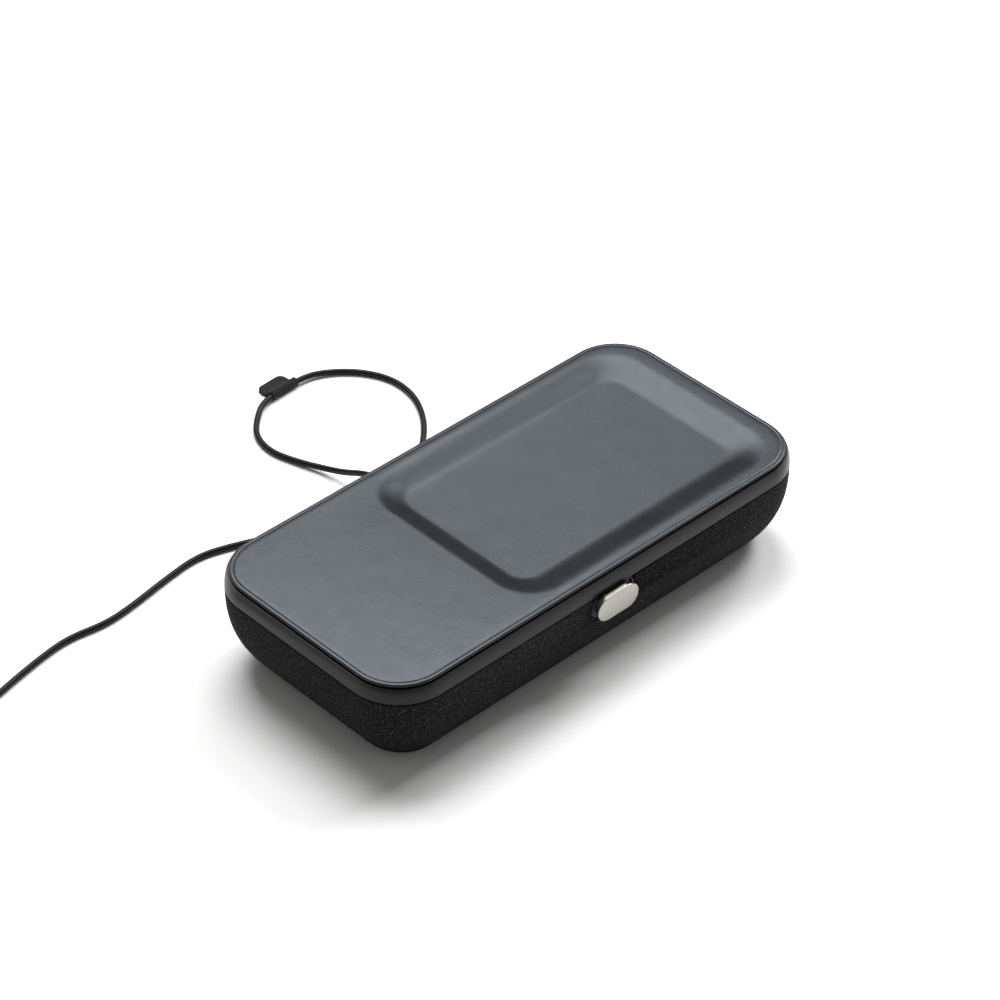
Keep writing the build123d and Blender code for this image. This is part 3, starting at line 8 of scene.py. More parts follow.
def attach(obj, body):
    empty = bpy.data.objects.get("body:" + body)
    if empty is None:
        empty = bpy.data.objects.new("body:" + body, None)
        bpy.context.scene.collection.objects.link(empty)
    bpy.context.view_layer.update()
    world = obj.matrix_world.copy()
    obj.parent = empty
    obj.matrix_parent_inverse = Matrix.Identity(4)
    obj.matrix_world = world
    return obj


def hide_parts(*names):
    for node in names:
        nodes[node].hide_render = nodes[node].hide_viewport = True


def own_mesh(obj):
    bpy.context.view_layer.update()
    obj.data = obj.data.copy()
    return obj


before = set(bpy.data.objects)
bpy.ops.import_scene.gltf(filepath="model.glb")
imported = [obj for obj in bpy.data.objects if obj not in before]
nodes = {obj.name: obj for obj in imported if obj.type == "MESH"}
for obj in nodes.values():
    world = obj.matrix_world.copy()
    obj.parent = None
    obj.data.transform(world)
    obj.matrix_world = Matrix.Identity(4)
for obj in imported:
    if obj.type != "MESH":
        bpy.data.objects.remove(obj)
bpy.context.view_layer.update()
mm = 0.001

# --- Rubber foot -------------------------------------------------------------
# A low pad of moulded silicone rubber under the whole base, pressed onto the
# shell's underside, so that the box doesn't slide.


def linear(hex_colour):
    """The linear colour of an sRGB hex value."""
    parts = [int(hex_colour[i : i + 2], 16) / 255 for i in (0, 2, 4)]
    return (*[p / 12.92 if p <= 0.04045 else ((p + 0.055) / 1.055) ** 2.4 for p in parts], 1.0)


def start_finish(name, settings):
    """A material, with the settings that are the same all over on its shader's own sockets."""
    material = bpy.data.materials.new(name)
    material.use_nodes = True
    for socket, value in settings.items():
        material.node_tree.nodes["Principled BSDF"].inputs[socket].default_value = value
    return material


def add(material, kind, settings):
    """A shader node with its settings. An output given as a setting is linked to that input, a node
    given as one stands for its first output, and colours are given by their places on a ramp."""
    node = material.node_tree.nodes.new("ShaderNode" + kind)
    for key, value in settings.items():
        if isinstance(value, bpy.types.Node):
            value = value.outputs[0]
        if key == "colours":
            for element, position in zip(node.color_ramp.elements, value):
                element.position, element.color = position, linear(value[position])
        elif not isinstance(key, int) and key not in node.inputs:
            setattr(node, key, value)
        elif isinstance(value, bpy.types.NodeSocket):
            material.node_tree.links.new(value, node.inputs[key])
        else:
            node.inputs[key].default_value = value
    return node


def link(material, socket, node, output=0):
    """Leads an output of a node to one of the shader's own sockets."""
    target = material.node_tree.nodes["Principled BSDF"].inputs[socket]
    material.node_tree.links.new(node.outputs[output], target)


def moulded_grain(material, grain, depth):
    """The fine spark-eroded grain that a steel mould leaves, as a bump."""
    place = add(material, "TexCoord", {}).outputs["Object"]
    speckle = add(material, "TexNoise", {"Vector": place, "Scale": 1 / (grain * mm), "Detail": 3.0})
    bump = add(material, "Bump", {"Height": speckle, "Distance": depth * mm, "Strength": 1.0})
    link(material, "Normal", bump)
    return speckle


def dress(material, *names):
    """Gives CAD nodes a finish."""
    for name in names:
        for place in nodes[name].material_slots:
            place.material = material


# Silicone rubber, moulded: matt, slightly dusty black that takes no reflections
foot_rubber = start_finish("moulded_silicone_rubber", {"Roughness": 0.85})
speckle = moulded_grain(foot_rubber, 0.5, 0.02)
dust = add(foot_rubber, "ValToRGB", {"Fac": speckle, "colours": {0: "151516", 1: "262627"}})
link(foot_rubber, "Base Color", dust)
dress(foot_rubber, "base_foot")

# --- Base shell --------------------------------------------------------------
# The tub that carries everything: injection-moulded ABS with a floor, screw
# bosses, a slot for the latch and a hole for the port. The cloth hides its sides.


def eased_group():
    """Shading that is smooth except over sharp edges."""
    group = bpy.data.node_groups.new("shade_by_angle", "GeometryNodeTree")
    group.interface.new_socket("Geometry", in_out="INPUT", socket_type="NodeSocketGeometry")
    group.interface.new_socket("Geometry", in_out="OUTPUT", socket_type="NodeSocketGeometry")
    made = group.nodes.new
    start, end = made("NodeGroupInput"), made("NodeGroupOutput")
    faces, edges = made("GeometryNodeSetShadeSmooth"), made("GeometryNodeSetShadeSmooth")
    angle, sharp = made("GeometryNodeInputMeshEdgeAngle"), made("FunctionNodeCompare")
    faces.domain, edges.domain = "FACE", "EDGE"
    faces.inputs["Shade Smooth"].default_value = True
    edges.inputs["Shade Smooth"].default_value = False
    sharp.operation = "GREATER_THAN"
    sharp.inputs[1].default_value = math.radians(32)
    for output, target in (
        (start.outputs[0], faces.inputs[0]),
        (faces.outputs[0], edges.inputs[0]),
        (angle.outputs[0], sharp.inputs[0]),
        (sharp.outputs[0], edges.inputs["Selection"]),
        (edges.outputs[0], end.inputs[0]),
    ):
        group.links.new(output, target)
    return group


shade_by_angle = eased_group()


def ease(edge, *names):
    """Breaks the edges of CAD nodes by a small radius in millimetres, as a mould or a tumbler does."""
    for name in names:
        modifiers = nodes[name].modifiers
        modifiers.new("one_skin", "WELD").merge_threshold = 0.0005 * mm
        if edge:
            flat = modifiers.new("flat_faces", "DECIMATE")
            flat.decimate_type = "DISSOLVE"
            flat.angle_limit = math.radians(0.5)
            round_off = modifiers.new("broken_edges", "BEVEL")
            round_off.width = edge * mm
            round_off.segments = 2
            round_off.limit_method = "ANGLE"
            round_off.angle_limit = math.radians(40)
        modifiers.new("soft_shading", "NODES").node_group = shade_by_angle


# ABS, moulded against a finely eroded steel face: satin black with a dull bloom
moulded_abs = start_finish("moulded_abs", {"Roughness": 0.48, "IOR": 1.54})
speckle = moulded_grain(moulded_abs, 0.35, 0.008)
bloom = add(moulded_abs, "ValToRGB", {"Fac": speckle, "colours": {0: "17181A", 1: "202123"}})
link(moulded_abs, "Base Color", bloom)
dress(moulded_abs, "base_shell")
ease(0, "base_shell")

# --- Woven cover -------------------------------------------------------------
# One strip of charcoal polyester cloth round the shell's sides, glued, its upper
# edge turned in at the seam and its lower edge at the foot, cut at the latch,
# the port and the hinges.
case_length, case_width, case_corner = 242.4, 120.0, 24.8
base_top, foot_height = 39.0, 2.0
base_draw_in, draw_in_power, corner_share = 12.0, 2.7, 0.6
cover_thickness = 1.0


def ring(half_length, half_width, corner, height, centre=0.0, steps=14):
    """A rounded rectangle's points at a height, in millimetres, from the right-hand front corner on."""
    corner = min(corner, half_length, half_width)
    points = []
    for quarter, (x_side, y_side) in enumerate(((1, -1), (1, 1), (-1, 1), (-1, -1))):
        for step in range(steps + 1):
            angle = math.radians(90 * (quarter - 1 + step / steps))
            x = centre + x_side * (half_length - corner) + corner * math.cos(angle)
            y = y_side * (half_width - corner) + corner * math.sin(angle)
            points.append(Vector((x, y, height)) * mm)
    return points


def skin(name, rings, closed=False, start_cap=False, end_cap=False):
    """A mesh through rings of points, with a UV map in metres: round the ring, and along the rings."""
    mesh = bmesh.new()
    loops = [[mesh.verts.new(point) for point in points] for points in rings]
    uv = mesh.loops.layers.uv.new("UVMap")
    round_it = [0.0]
    longest = max(rings, key=lambda points: sum((a - b).length for a, b in zip(points, points[1:])))
    for a, b in zip(longest, longest[1:] + longest[:1]):
        round_it.append(round_it[-1] + (b - a).length)
    along = [0.0]
    for before, after in zip(rings, rings[1:] + rings[:1]):
        along.append(along[-1] + sum((a - b).length for a, b in zip(before, after)) / len(after))
    count = len(rings[0])
    for row in range(len(loops) if closed else len(loops) - 1):
        low, high = loops[row], loops[(row + 1) % len(loops)]
        for place in range(count):
            following = (place + 1) % count
            face = mesh.faces.new((low[place], low[following], high[following], high[place]))
            face.smooth = True
            for corner, (u, v) in zip(
                face.loops, ((place, row), (place + 1, row), (place + 1, row + 1), (place, row + 1))
            ):
                corner[uv].uv = (round_it[u], along[v])
    if start_cap:
        mesh.faces.new(loops[0][::-1]).smooth = True
    if end_cap:
        mesh.faces.new(loops[-1]).smooth = True
    data = bpy.data.meshes.new(name)
    mesh.to_mesh(data)
    mesh.free()
    piece = bpy.data.objects.new(name, data)
    bpy.context.scene.collection.objects.link(piece)
    return piece


def cut_out(piece, cutters):
    """Cuts closed forms out of a piece and removes them."""
    for cutter in cutters:
        cut = piece.modifiers.new("cut", "BOOLEAN")
        cut.operation, cut.object, cut.solver = "DIFFERENCE", cutter, "EXACT"
    bpy.context.view_layer.update()
    cut_piece = piece.evaluated_get(bpy.context.evaluated_depsgraph_get())
    data = bpy.data.meshes.new_from_object(cut_piece)
    piece.modifiers.clear()
    piece.data = data
    for cutter in cutters:
        bpy.data.objects.remove(cutter)


def upright(points, start, end):
    """Rings across Y from a ring drawn in X and Z: the front wall's openings."""
    return [[Vector((p.x, y * mm, p.y)) for p in points] for y in (start, end)]


def cover_ring(height, margin):
    """The case's outline at a height, drawn in towards the foot, with a margin to it."""
    inward = base_draw_in * max(0.0, (base_top - height) / (base_top - foot_height)) ** draw_in_power
    return ring(
        case_length / 2 - inward + margin,
        case_width / 2 - inward + margin,
        case_corner - corner_share * inward + margin,
        height,
    )


# Heights up the cloth with their margins to the case's outline: the outer face, the turned
# upper edge, the inner face and the lower edge
low_edge, high_edge, cloth_rows = foot_height + 0.35, 38.55, 22
outside = [(low_edge + (high_edge - low_edge) * step / cloth_rows, 0.0) for step in range(cloth_rows + 1)]
top_turn = [(38.8, -0.06), (38.93, -0.2), (39.0, -0.42), (39.0, -0.7), (38.9, -0.92)]
inside = [(height, -cover_thickness) for height, _ in reversed(outside)]
low_turn = [(2.1, -0.85), (2.0, -0.55), (2.03, -0.25), (2.15, -0.06)]
cover_rings = [cover_ring(height, margin) for height, margin in outside + top_turn + inside + low_turn]
woven_cover = skin("woven_cover", cover_rings, closed=True)
# The latch's slot: open at the seam, its lower corners round
slot_half, slot_round, slot_height, slot_top = 12.3, 6.0, 32.6, 41.0
quarter = [math.pi / 2 * step / 10 for step in range(11)]
slot_points = [(slot_half, slot_top)]
for side, turns in ((1, quarter), (-1, quarter[::-1])):
    for turn in turns:
        x = side * (slot_half - slot_round + slot_round * math.cos(turn))
        slot_points.append((x, slot_height - slot_round * math.sin(turn)))
slot_points.append((-slot_half, slot_top))
latch_slot = [Vector((x * mm, z * mm, 0)) for x, z in slot_points]
port_height = 13.0
port_slot = [Vector((p.x, p.y + port_height * mm, 0)) for p in ring(7.9, 4.9, 4.9, 0)]
pin_y, pin_z, knuckle_room = 60.0, 39.3, 2.3
hinge_round = [
    Vector((0, pin_y + knuckle_room * math.cos(turn), pin_z + knuckle_room * math.sin(turn))) * mm
    for turn in [math.tau * step / 24 for step in range(24)]
]
hinge_x, hinge_half_room = 72.0, 17.4
cutters = [
    skin("latch_cutter", upright(latch_slot, -66, -54), start_cap=True, end_cap=True),
    skin("port_cutter", upright(port_slot, 64, 46), start_cap=True, end_cap=True),
]
for middle in (-hinge_x, hinge_x):
    limits = (middle - hinge_half_room, middle + hinge_half_room)
    ends = [[p + Vector((limit, 0, 0)) * mm for p in hinge_round] for limit in limits]
    cutters.append(skin("hinge_cutter", ends, start_cap=True, end_cap=True))
cut_out(woven_cover, cutters)
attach(woven_cover, "base")
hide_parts("fabric_cover")

# Polyester yarn, plain woven: matt, each thread round, some threads paler than others. Pale specks along
# the yarn are partly paler threads and partly painted glints of light on the thread crowns, and the
# hollows between the threads carry painted shade. The real pitch is about 0.5 mm, drawn at 0.95 mm so that
# it shows.
woven_polyester = start_finish("woven_polyester", {"Roughness": 0.9, "Specular IOR Level": 0.25})
thread_pitch, slub_length = 0.95, 2.6
yarn = add(woven_polyester, "TexCoord", {}).outputs["UV"]
parts = add(woven_polyester, "SeparateXYZ", {0: yarn})
cells = add(woven_polyester, "TexChecker", {"Vector": yarn, "Scale": 1 / (thread_pitch * mm)})
crowns = []
for output in (parts.outputs[0], parts.outputs[1]):
    turn = add(
        woven_polyester, "Math", {"operation": "MULTIPLY", 0: output, 1: math.pi / (thread_pitch * mm)}
    )
    wave = add(woven_polyester, "Math", {"operation": "SINE", 0: turn})
    crowns.append(add(woven_polyester, "Math", {"operation": "ABSOLUTE", 0: wave}))
over = add(woven_polyester, "Mix", {0: cells.outputs["Fac"], 2: crowns[0], 3: crowns[1]})
slubs = []
across_yarn, along_yarn = 1 / (thread_pitch * mm), 1 / (slub_length * mm)
for stretch in ((across_yarn, along_yarn, 1.0), (along_yarn, across_yarn, 1.0)):
    scaled = add(woven_polyester, "VectorMath", {"operation": "MULTIPLY", 0: yarn, 1: stretch})
    slubs.append(
        add(woven_polyester, "TexNoise", {"Vector": scaled, "Scale": 1.0, "Detail": 2.0, "Roughness": 0.7})
    )
shade = add(woven_polyester, "Mix", {0: cells.outputs["Fac"], 2: slubs[0], 3: slubs[1]})
# Pale specks along the yarn: partly paler threads, partly painted glints of light on the thread crowns
yarn_tone_and_glints = add(woven_polyester, "ValToRGB", {"Fac": shade, "colours": {0.5: "060606", 0.68: "565654"}})
# The colour is darkened towards the hollows between the threads' crowns: painted shade between the threads
painted_weave_shade = add(woven_polyester, "MapRange", {"Value": over, "To Min": 0.25, "To Max": 1.0})
shadowed = add(
    woven_polyester, "Mix", {"data_type": "RGBA", "blend_type": "MULTIPLY", 0: 1.0, 6: yarn_tone_and_glints, 7: painted_weave_shade}
)
link(woven_polyester, "Base Color", shadowed, 2)
rise = add(woven_polyester, "Bump", {"Height": over, "Distance": 0.25 * mm, "Strength": 0.9})
link(woven_polyester, "Normal", rise)
woven_cover.data.materials.append(woven_polyester)

# --- Rim frame and its screws ------------------------------------------------
# A moulded ABS ring that closes the space between shell and liner, held to the
# shell's bosses by four steel screws.
dress(moulded_abs, "rim_frame")
ease(0.2, "rim_frame")


def screws(name, node, places, face, axis, size, body):
    """Countersunk screws with a six-lobed recess, heads level with a face, in millimetres. The size
    gives the head's and the shank's radius, the head's height and the whole length."""
    head, shank, head_height, length = size
    axis = Vector(axis)
    side = Vector((1, 0, 0))
    other = axis.cross(side)
    profile = [
        (0.3 * head, -0.32 * head, 0.07 * head),
        (0.42 * head, -0.3 * head, 0.09 * head),
        (0.5 * head, -0.02 * head, 0.1 * head),
        (0.56 * head, 0.0, 0.07 * head),
        (0.88 * head, 0.0, 0.0),
        (head, -0.1 * head, 0.0),
        (head, 0.15 * head - head_height, 0.0),
        (shank, -head_height, 0.0),
        (shank, -length, 0.0),
    ]
    steps = 36
    whole = None
    for place in places:
        rings = []
        for radius, depth, lobe in profile:
            middle = Vector(place) + Vector(face) + axis * depth
            points = []
            for step in range(steps):
                turn = math.tau * step / steps
                outward = side * math.cos(turn) + other * math.sin(turn)
                points.append((middle + outward * (radius + lobe * math.cos(6 * turn))) * mm)
            rings.append(points)
        piece = skin(name, rings, start_cap=True, end_cap=True)
        if whole is None:
            whole = piece
        else:
            joined = bmesh.new()
            joined.from_mesh(whole.data)
            joined.from_mesh(piece.data)
            joined.to_mesh(whole.data)
            joined.free()
            bpy.data.objects.remove(piece)
    whole.data.materials.append(screw_steel)
    whole.modifiers.new("soft_shading", "NODES").node_group = shade_by_angle
    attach(whole, body)
    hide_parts(node)


# Carbon steel, cold headed and blackened: dark metal, faintly oily
screw_steel = start_finish("blackened_steel", {"Metallic": 1.0, "Base Color": linear("4A4B4E")})
place = add(screw_steel, "TexCoord", {}).outputs["Object"]
oil = add(screw_steel, "TexNoise", {"Vector": place, "Scale": 1 / (0.6 * mm)})
film = add(screw_steel, "MapRange", {"Value": oil, "To Min": 0.28, "To Max": 0.46})
link(screw_steel, "Roughness", film)

frame_screw = (1.88, 0.95, 1.1, 8.0)
frame_screw_places = [(x, y, 0) for x in (-45, 45) for y in (-52.9, 52.9)]
screws("frame_screw_set", "frame_screws", frame_screw_places, (0, 0, 39.0), (0, 0, 1), frame_screw, "base")

# --- Inner liner and dividers ------------------------------------------------
# The storage well, moulded in ABS and sprayed with a soft-touch coat, with ribs
# that three loose dividers of the same plastic slide between.

# Soft-touch polyurethane coat on ABS: very matt dark grey, slightly velvety
soft_touch = start_finish(
    "soft_touch_coat", {"Roughness": 0.78, "Sheen Weight": 0.08, "Sheen Roughness": 0.5}
)
speckle = moulded_grain(soft_touch, 0.6, 0.012)
tone = add(soft_touch, "ValToRGB", {"Fac": speckle, "colours": {0: "3A3B3E", 1: "46474A"}})
link(soft_touch, "Base Color", tone)
dress(soft_touch, "inner_liner")
ease(0.2, "inner_liner")

# The dividers carry the same coat a shade lighter
divider_coat = start_finish(
    "soft_touch_coat_light", {"Roughness": 0.72, "Sheen Weight": 0.08, "Sheen Roughness": 0.5}
)
speckle = moulded_grain(divider_coat, 0.6, 0.012)
tone = add(divider_coat, "ValToRGB", {"Fac": speckle, "colours": {0: "5A5B5E", 1: "66676A"}})
link(divider_coat, "Base Color", tone)
dress(divider_coat, "cross_divider_1", "cross_divider_2", "long_divider")
ease(0.3, "cross_divider_1", "cross_divider_2", "long_divider")

# --- Charging port -----------------------------------------------------------
# A gloss ABS bezel in the back wall round a drawn metal socket with its contact
# tongue, on a small circuit board held by two screws. A flat lead goes from the
# board up to the lid.

# ABS moulded against a polished face: black, with sharp reflections and faint rub marks
gloss_abs = start_finish("polished_abs", {"Base Color": linear("101113"), "IOR": 1.54})
place = add(gloss_abs, "TexCoord", {}).outputs["Object"]
rubs = add(gloss_abs, "TexNoise", {"Vector": place, "Scale": 1 / (4 * mm), "Detail": 6.0})
haze = add(gloss_abs, "MapRange", {"Value": rubs, "To Min": 0.16, "To Max": 0.3})
link(gloss_abs, "Roughness", haze)
dress(gloss_abs, "port_bezel")
ease(0.25, "port_bezel")

# Steel, drawn and nickel plated: bright, slightly warm metal
nickel_steel = start_finish("nickel_plated_steel", {"Metallic": 1.0, "Base Color": linear("C9C5BC")})
place = add(nickel_steel, "TexCoord", {}).outputs["Object"]
plating = add(nickel_steel, "TexNoise", {"Vector": place, "Scale": 1 / (1.5 * mm), "Detail": 4.0})
lustre = add(nickel_steel, "MapRange", {"Value": plating, "To Min": 0.2, "To Max": 0.34})
link(nickel_steel, "Roughness", lustre)
dress(nickel_steel, "port_socket", "port_plug_shell", "supply_plug_shell")
ease(0, "port_socket", "port_plug_shell", "supply_plug_shell")

# Glass-filled epoxy board with a black solder mask: smooth, with faint copper tracks under it
solder_mask = start_finish("black_solder_mask", {"Roughness": 0.35})
place = add(solder_mask, "TexCoord", {}).outputs["Object"]
tracks = add(
    solder_mask,
    "TexVoronoi",
    {
        "Vector": place,
        "Scale": 1 / (2.5 * mm),
        "distance": "MANHATTAN",
        "feature": "DISTANCE_TO_EDGE",
    },
)
mask = add(solder_mask, "ValToRGB", {"Fac": tracks, "colours": {0.02: "2C3A33", 0.06: "15201B"}})
link(solder_mask, "Base Color", mask)
dress(solder_mask, "port_board", "charging_board")

# Polyamide contact tongue, moulded in black, with gold contact stripes across it
tongue_nylon = start_finish("moulded_polyamide", {"Roughness": 0.4})
place = add(tongue_nylon, "TexCoord", {}).outputs["Object"]
stripes = add(tongue_nylon, "TexWave", {"Vector": place, "Scale": 1 / (3.2 * mm), "bands_direction": "X"})
gold = add(tongue_nylon, "ValToRGB", {"Fac": stripes, "colours": {0: "17181A", 0.6: "C7A24E"}})
gold.color_ramp.interpolation = "CONSTANT"
link(tongue_nylon, "Base Color", gold)
dress(tongue_nylon, "socket_tongue", "supply_plug_tongue")

# Polyimide film over copper strips: amber, glossy, with the strips showing as darker lines
flat_lead = start_finish("polyimide_film", {"Roughness": 0.28})
place = add(flat_lead, "TexCoord", {}).outputs["Object"]
strips = add(flat_lead, "TexWave", {"Vector": place, "Scale": 1 / (6 * mm), "bands_direction": "X"})
amber = add(flat_lead, "ValToRGB", {"Fac": strips, "colours": {0: "7A4310", 1: "B8741F"}})
link(flat_lead, "Base Color", amber)
dress(flat_lead, "port_ribbon", "charger_ribbon")

small_screw = (1.24, 0.69, 0.6, 3.2)
port_places = [(-8.6, 0, port_height), (8.6, 0, port_height)]
screws("port_board_screw_set", "port_screws", port_places, (0, 46.0, 0), (0, -1, 0), small_screw, "base")

# --- Latch button ------------------------------------------------------------
# An oval plate of anodised aluminium on a turned stem that slides in a moulded
# bezel in the front wall. A hook behind it holds the lid's striker, and a leaf
# spring pushes the button out.
plate_half_length, plate_half_height, plate_level = 11.7, 6.0, 32.8
# Rings by their place across the wall, with their insets
plate_edge = ((-62.2, 0.25), (-62.35, 0.0), (-62.75, 0.0), (-63.0, 0.08), (-63.14, 0.28), (-63.2, 0.6))
plate_rings = []
for face, inset in plate_edge:
    flat_ring = ring(plate_half_length - inset, plate_half_height - inset, plate_half_height - inset, 0)
    plate_rings.append([Vector((p.x, face * mm, p.y + plate_level * mm)) for p in flat_ring])
button_plate = skin("button_plate", plate_rings, start_cap=True, end_cap=True)
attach(button_plate, "latch_button")
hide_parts("latch_plate")

stem_half_length, stem_half_height, stem_corner, stem_level = 8.85, 4.8, 3.5, 33.0
stem_rings = []
for face, inset in ((-55.5, 0.4), (-55.8, 0.0), (-61.2, 0.0), (-61.9, 0.35), (-62.2, 0.9)):
    flat_ring = ring(stem_half_length - inset, stem_half_height - inset, stem_corner - inset, 0)
    stem_rings.append([Vector((p.x, face * mm, p.y + stem_level * mm)) for p in flat_ring])
button_stem = skin("button_stem", stem_rings, start_cap=True, end_cap=True)
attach(button_stem, "latch_button")
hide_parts("latch_stem")

# Aluminium, bead blasted and clear anodised: pale, even and silky, with soft reflections
anodised = start_finish("bead_blasted_aluminium", {"Metallic": 1.0, "Base Color": linear("A9A7A0")})
place = add(anodised, "TexCoord", {}).outputs["Object"]
blast = add(anodised, "TexNoise", {"Vector": place, "Scale": 1 / (0.25 * mm), "Detail": 2.0})
silk = add(anodised, "MapRange", {"Value": blast, "To Min": 0.26, "To Max": 0.38})
link(anodised, "Roughness", silk)
dimples = add(anodised, "Bump", {"Height": blast, "Distance": 0.004 * mm, "Strength": 1.0})
link(anodised, "Normal", dimples)
for piece in (button_plate, button_stem):
    piece.data.materials.append(anodised)
    piece.modifiers.new("soft_shading", "NODES").node_group = shade_by_angle

dress(moulded_abs, "latch_bezel", "latch_hook")
ease(0.15, "latch_bezel", "latch_hook")

# Spring steel strip, rolled and blued: smooth dark metal with a blue tint
spring_strip = start_finish("blued_spring_steel", {"Metallic": 1.0, "Base Color": linear("6F7480")})
place = add(spring_strip, "TexCoord", {}).outputs["Object"]
rolling = add(spring_strip, "TexNoise", {"Vector": place, "Scale": 1 / mm})
polish = add(spring_strip, "MapRange", {"Value": rolling, "To Min": 0.22, "To Max": 0.36})
link(spring_strip, "Roughness", polish)
# The strip bows out in one wave, its ends against the bezel's back plate
spring_half, spring_swing, strip_half, spring_y = 7.5, 1.725, 0.175, -51.75
spring_low, spring_high, back_plate_y = 30.3, 32.9, -49.85
strip_corners = ((-1, spring_low), (1, spring_low), (1, spring_high), (-1, spring_high))
bow_rings = []
for step in range(33):
    x = -spring_half + 2 * spring_half * step / 32
    wave_turn = math.pi * x / spring_half
    lean = math.atan(spring_swing * math.pi / spring_half * math.sin(wave_turn))
    middle = Vector((x, spring_y - spring_swing * math.cos(wave_turn), 0))
    out = Vector((-math.sin(lean), math.cos(lean), 0)) * strip_half
    bow_rings.append([(middle + out * side + Vector((0, 0, z))) * mm for side, z in strip_corners])
leaf_spring = skin("leaf_spring", bow_rings, start_cap=True, end_cap=True)
leaf_spring.data.materials.append(spring_strip)
leaf_spring.modifiers.new("soft_shading", "NODES").node_group = shade_by_angle
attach(leaf_spring, "base")
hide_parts("latch_spring")
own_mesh(leaf_spring)

# --- Hinges ------------------------------------------------------------------
# Two butt hinges of stamped steel with rolled knuckles and plain pins, screwed
# to the base and to the lid at the back of the seam.

# Mild steel, stamped and black nickelled: dark satin metal, brighter where it rubs
black_nickel = start_finish("black_nickelled_steel", {"Metallic": 1.0})
place = add(black_nickel, "TexCoord", {}).outputs["Object"]
wear = add(black_nickel, "TexNoise", {"Vector": place, "Scale": 1 / (2 * mm), "Detail": 5.0})
worn = add(black_nickel, "ValToRGB", {"Fac": wear, "colours": {0: "3C3D40", 1: "6A6B6E"}})
link(black_nickel, "Base Color", worn)
satin = add(black_nickel, "MapRange", {"Value": wear, "To Min": 0.3, "To Max": 0.45})
link(black_nickel, "Roughness", satin)
dress(black_nickel, "hinge_base_leaves", "hinge_lid_leaves")
ease(0.15, "hinge_base_leaves", "hinge_lid_leaves")
dress(nickel_steel, "hinge_pins")
ease(0, "hinge_pins")

holes = [(side * hinge_x + end * 12, 51.9, 0) for side in (-1, 1) for end in (-1, 1)]
screws("hinge_base_screw_set", "hinge_base_screws", holes, (0, 0, 39.0), (0, 0, 1), small_screw, "base")
screws("hinge_lid_screw_set", "hinge_lid_screws", holes, (0, 0, 39.6), (0, 0, -1), small_screw, "lid")

# --- Lid shell ---------------------------------------------------------------
# The lid's moulded ABS body: a smooth band that bulges a little over the base, a
# shallow groove under the leather, and a plate with the tray pressed into it.

# ABS moulded against a lapped face: satin black that mirrors the table softly near the seam
band_abs = start_finish("lapped_abs", {"Base Color": linear("0D0D0E"), "Specular IOR Level": 0.28})
place = add(band_abs, "TexCoord", {}).outputs["Object"]
rubs = add(band_abs, "TexNoise", {"Vector": place, "Scale": 1 / (6 * mm), "Detail": 5.0})
haze = add(band_abs, "MapRange", {"Value": rubs, "To Min": 0.26, "To Max": 0.36})
link(band_abs, "Roughness", haze)
dress(band_abs, "lid_shell")
ease(0, "lid_shell")

# --- Leather top -------------------------------------------------------------
# One piece of charcoal leather, glued over the lid and pressed into the tray, its
# edge turned and rolled, with a crease pressed just inside the edge all round.
rim_length, rim_width, rim_corner = 238.0, 115.6, 22.6
leather_thickness = 1.35
top_height = 48.0
dish_x, dish_length, dish_width, dish_corner = 33.0, 148.0, 99.0, 17.0
dish_depth, slope_width, corner_fall = 3.2, 10.0, 0.7


def rim_ring(inset, height):
    """The leather's outline, drawn in by an inset."""
    return ring(rim_length / 2 - inset, rim_width / 2 - inset, rim_corner - inset, height)


def dish_ring(left_inset, inset, height):
    """The tray's outline drawn in by one inset at its left and another on its other sides."""
    return ring(
        dish_length / 2 - (left_inset + inset) / 2,
        dish_width / 2 - inset,
        dish_corner - corner_fall * inset,
        height,
        centre=dish_x + (left_inset - inset) / 2,
    )


# Insets from the rim with their heights: the turned edge, then the pressed crease
edge_turn = [(0.4, 46.65), (0.1, 46.75), (0.0, 46.95), (0.0, 47.3), (0.08, 47.52), (0.26, 47.7)]
crease = [(0.52, 47.8), (0.85, 47.86), (1.35, 47.89), (1.7, 47.86), (1.95, 47.76)]
crease += [(2.2, 47.88), (2.7, 47.94), (3.4, 47.98), (4.3, 48.0)]
leather_rings = [rim_ring(inset, height) for inset, height in edge_turn + crease]
slope = []
for step in range(15):
    share = step / 14
    slope.append((share * slope_width, dish_depth * share * share * (3 - 2 * share)))
# On the face the slope is drawn out wider than below, most at the front, the back and the right
left_spread, left_shift, spread, shift = 1.2, 0.6, 1.61, 3.6
upper = [
    dish_ring(left_spread * inset - left_shift, spread * inset - shift, top_height - depth)
    for inset, depth in slope
]
leather_bottom = top_height - leather_thickness
under = [dish_ring(inset, inset, leather_bottom - depth) for inset, depth in reversed(slope)]
leather_skin = skin("leather_skin", leather_rings + upper, end_cap=True)
lower_skin = skin("leather_under", under + [rim_ring(*edge_turn[0])], start_cap=True)
whole = bmesh.new()
whole.from_mesh(leather_skin.data)
whole.from_mesh(lower_skin.data)
bmesh.ops.remove_doubles(whole, verts=whole.verts, dist=0.001 * mm)
bmesh.ops.recalc_face_normals(whole, faces=whole.faces)
whole.to_mesh(leather_skin.data)
whole.free()
bpy.data.objects.remove(lower_skin)
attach(leather_skin, "lid")
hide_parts("leather_top")

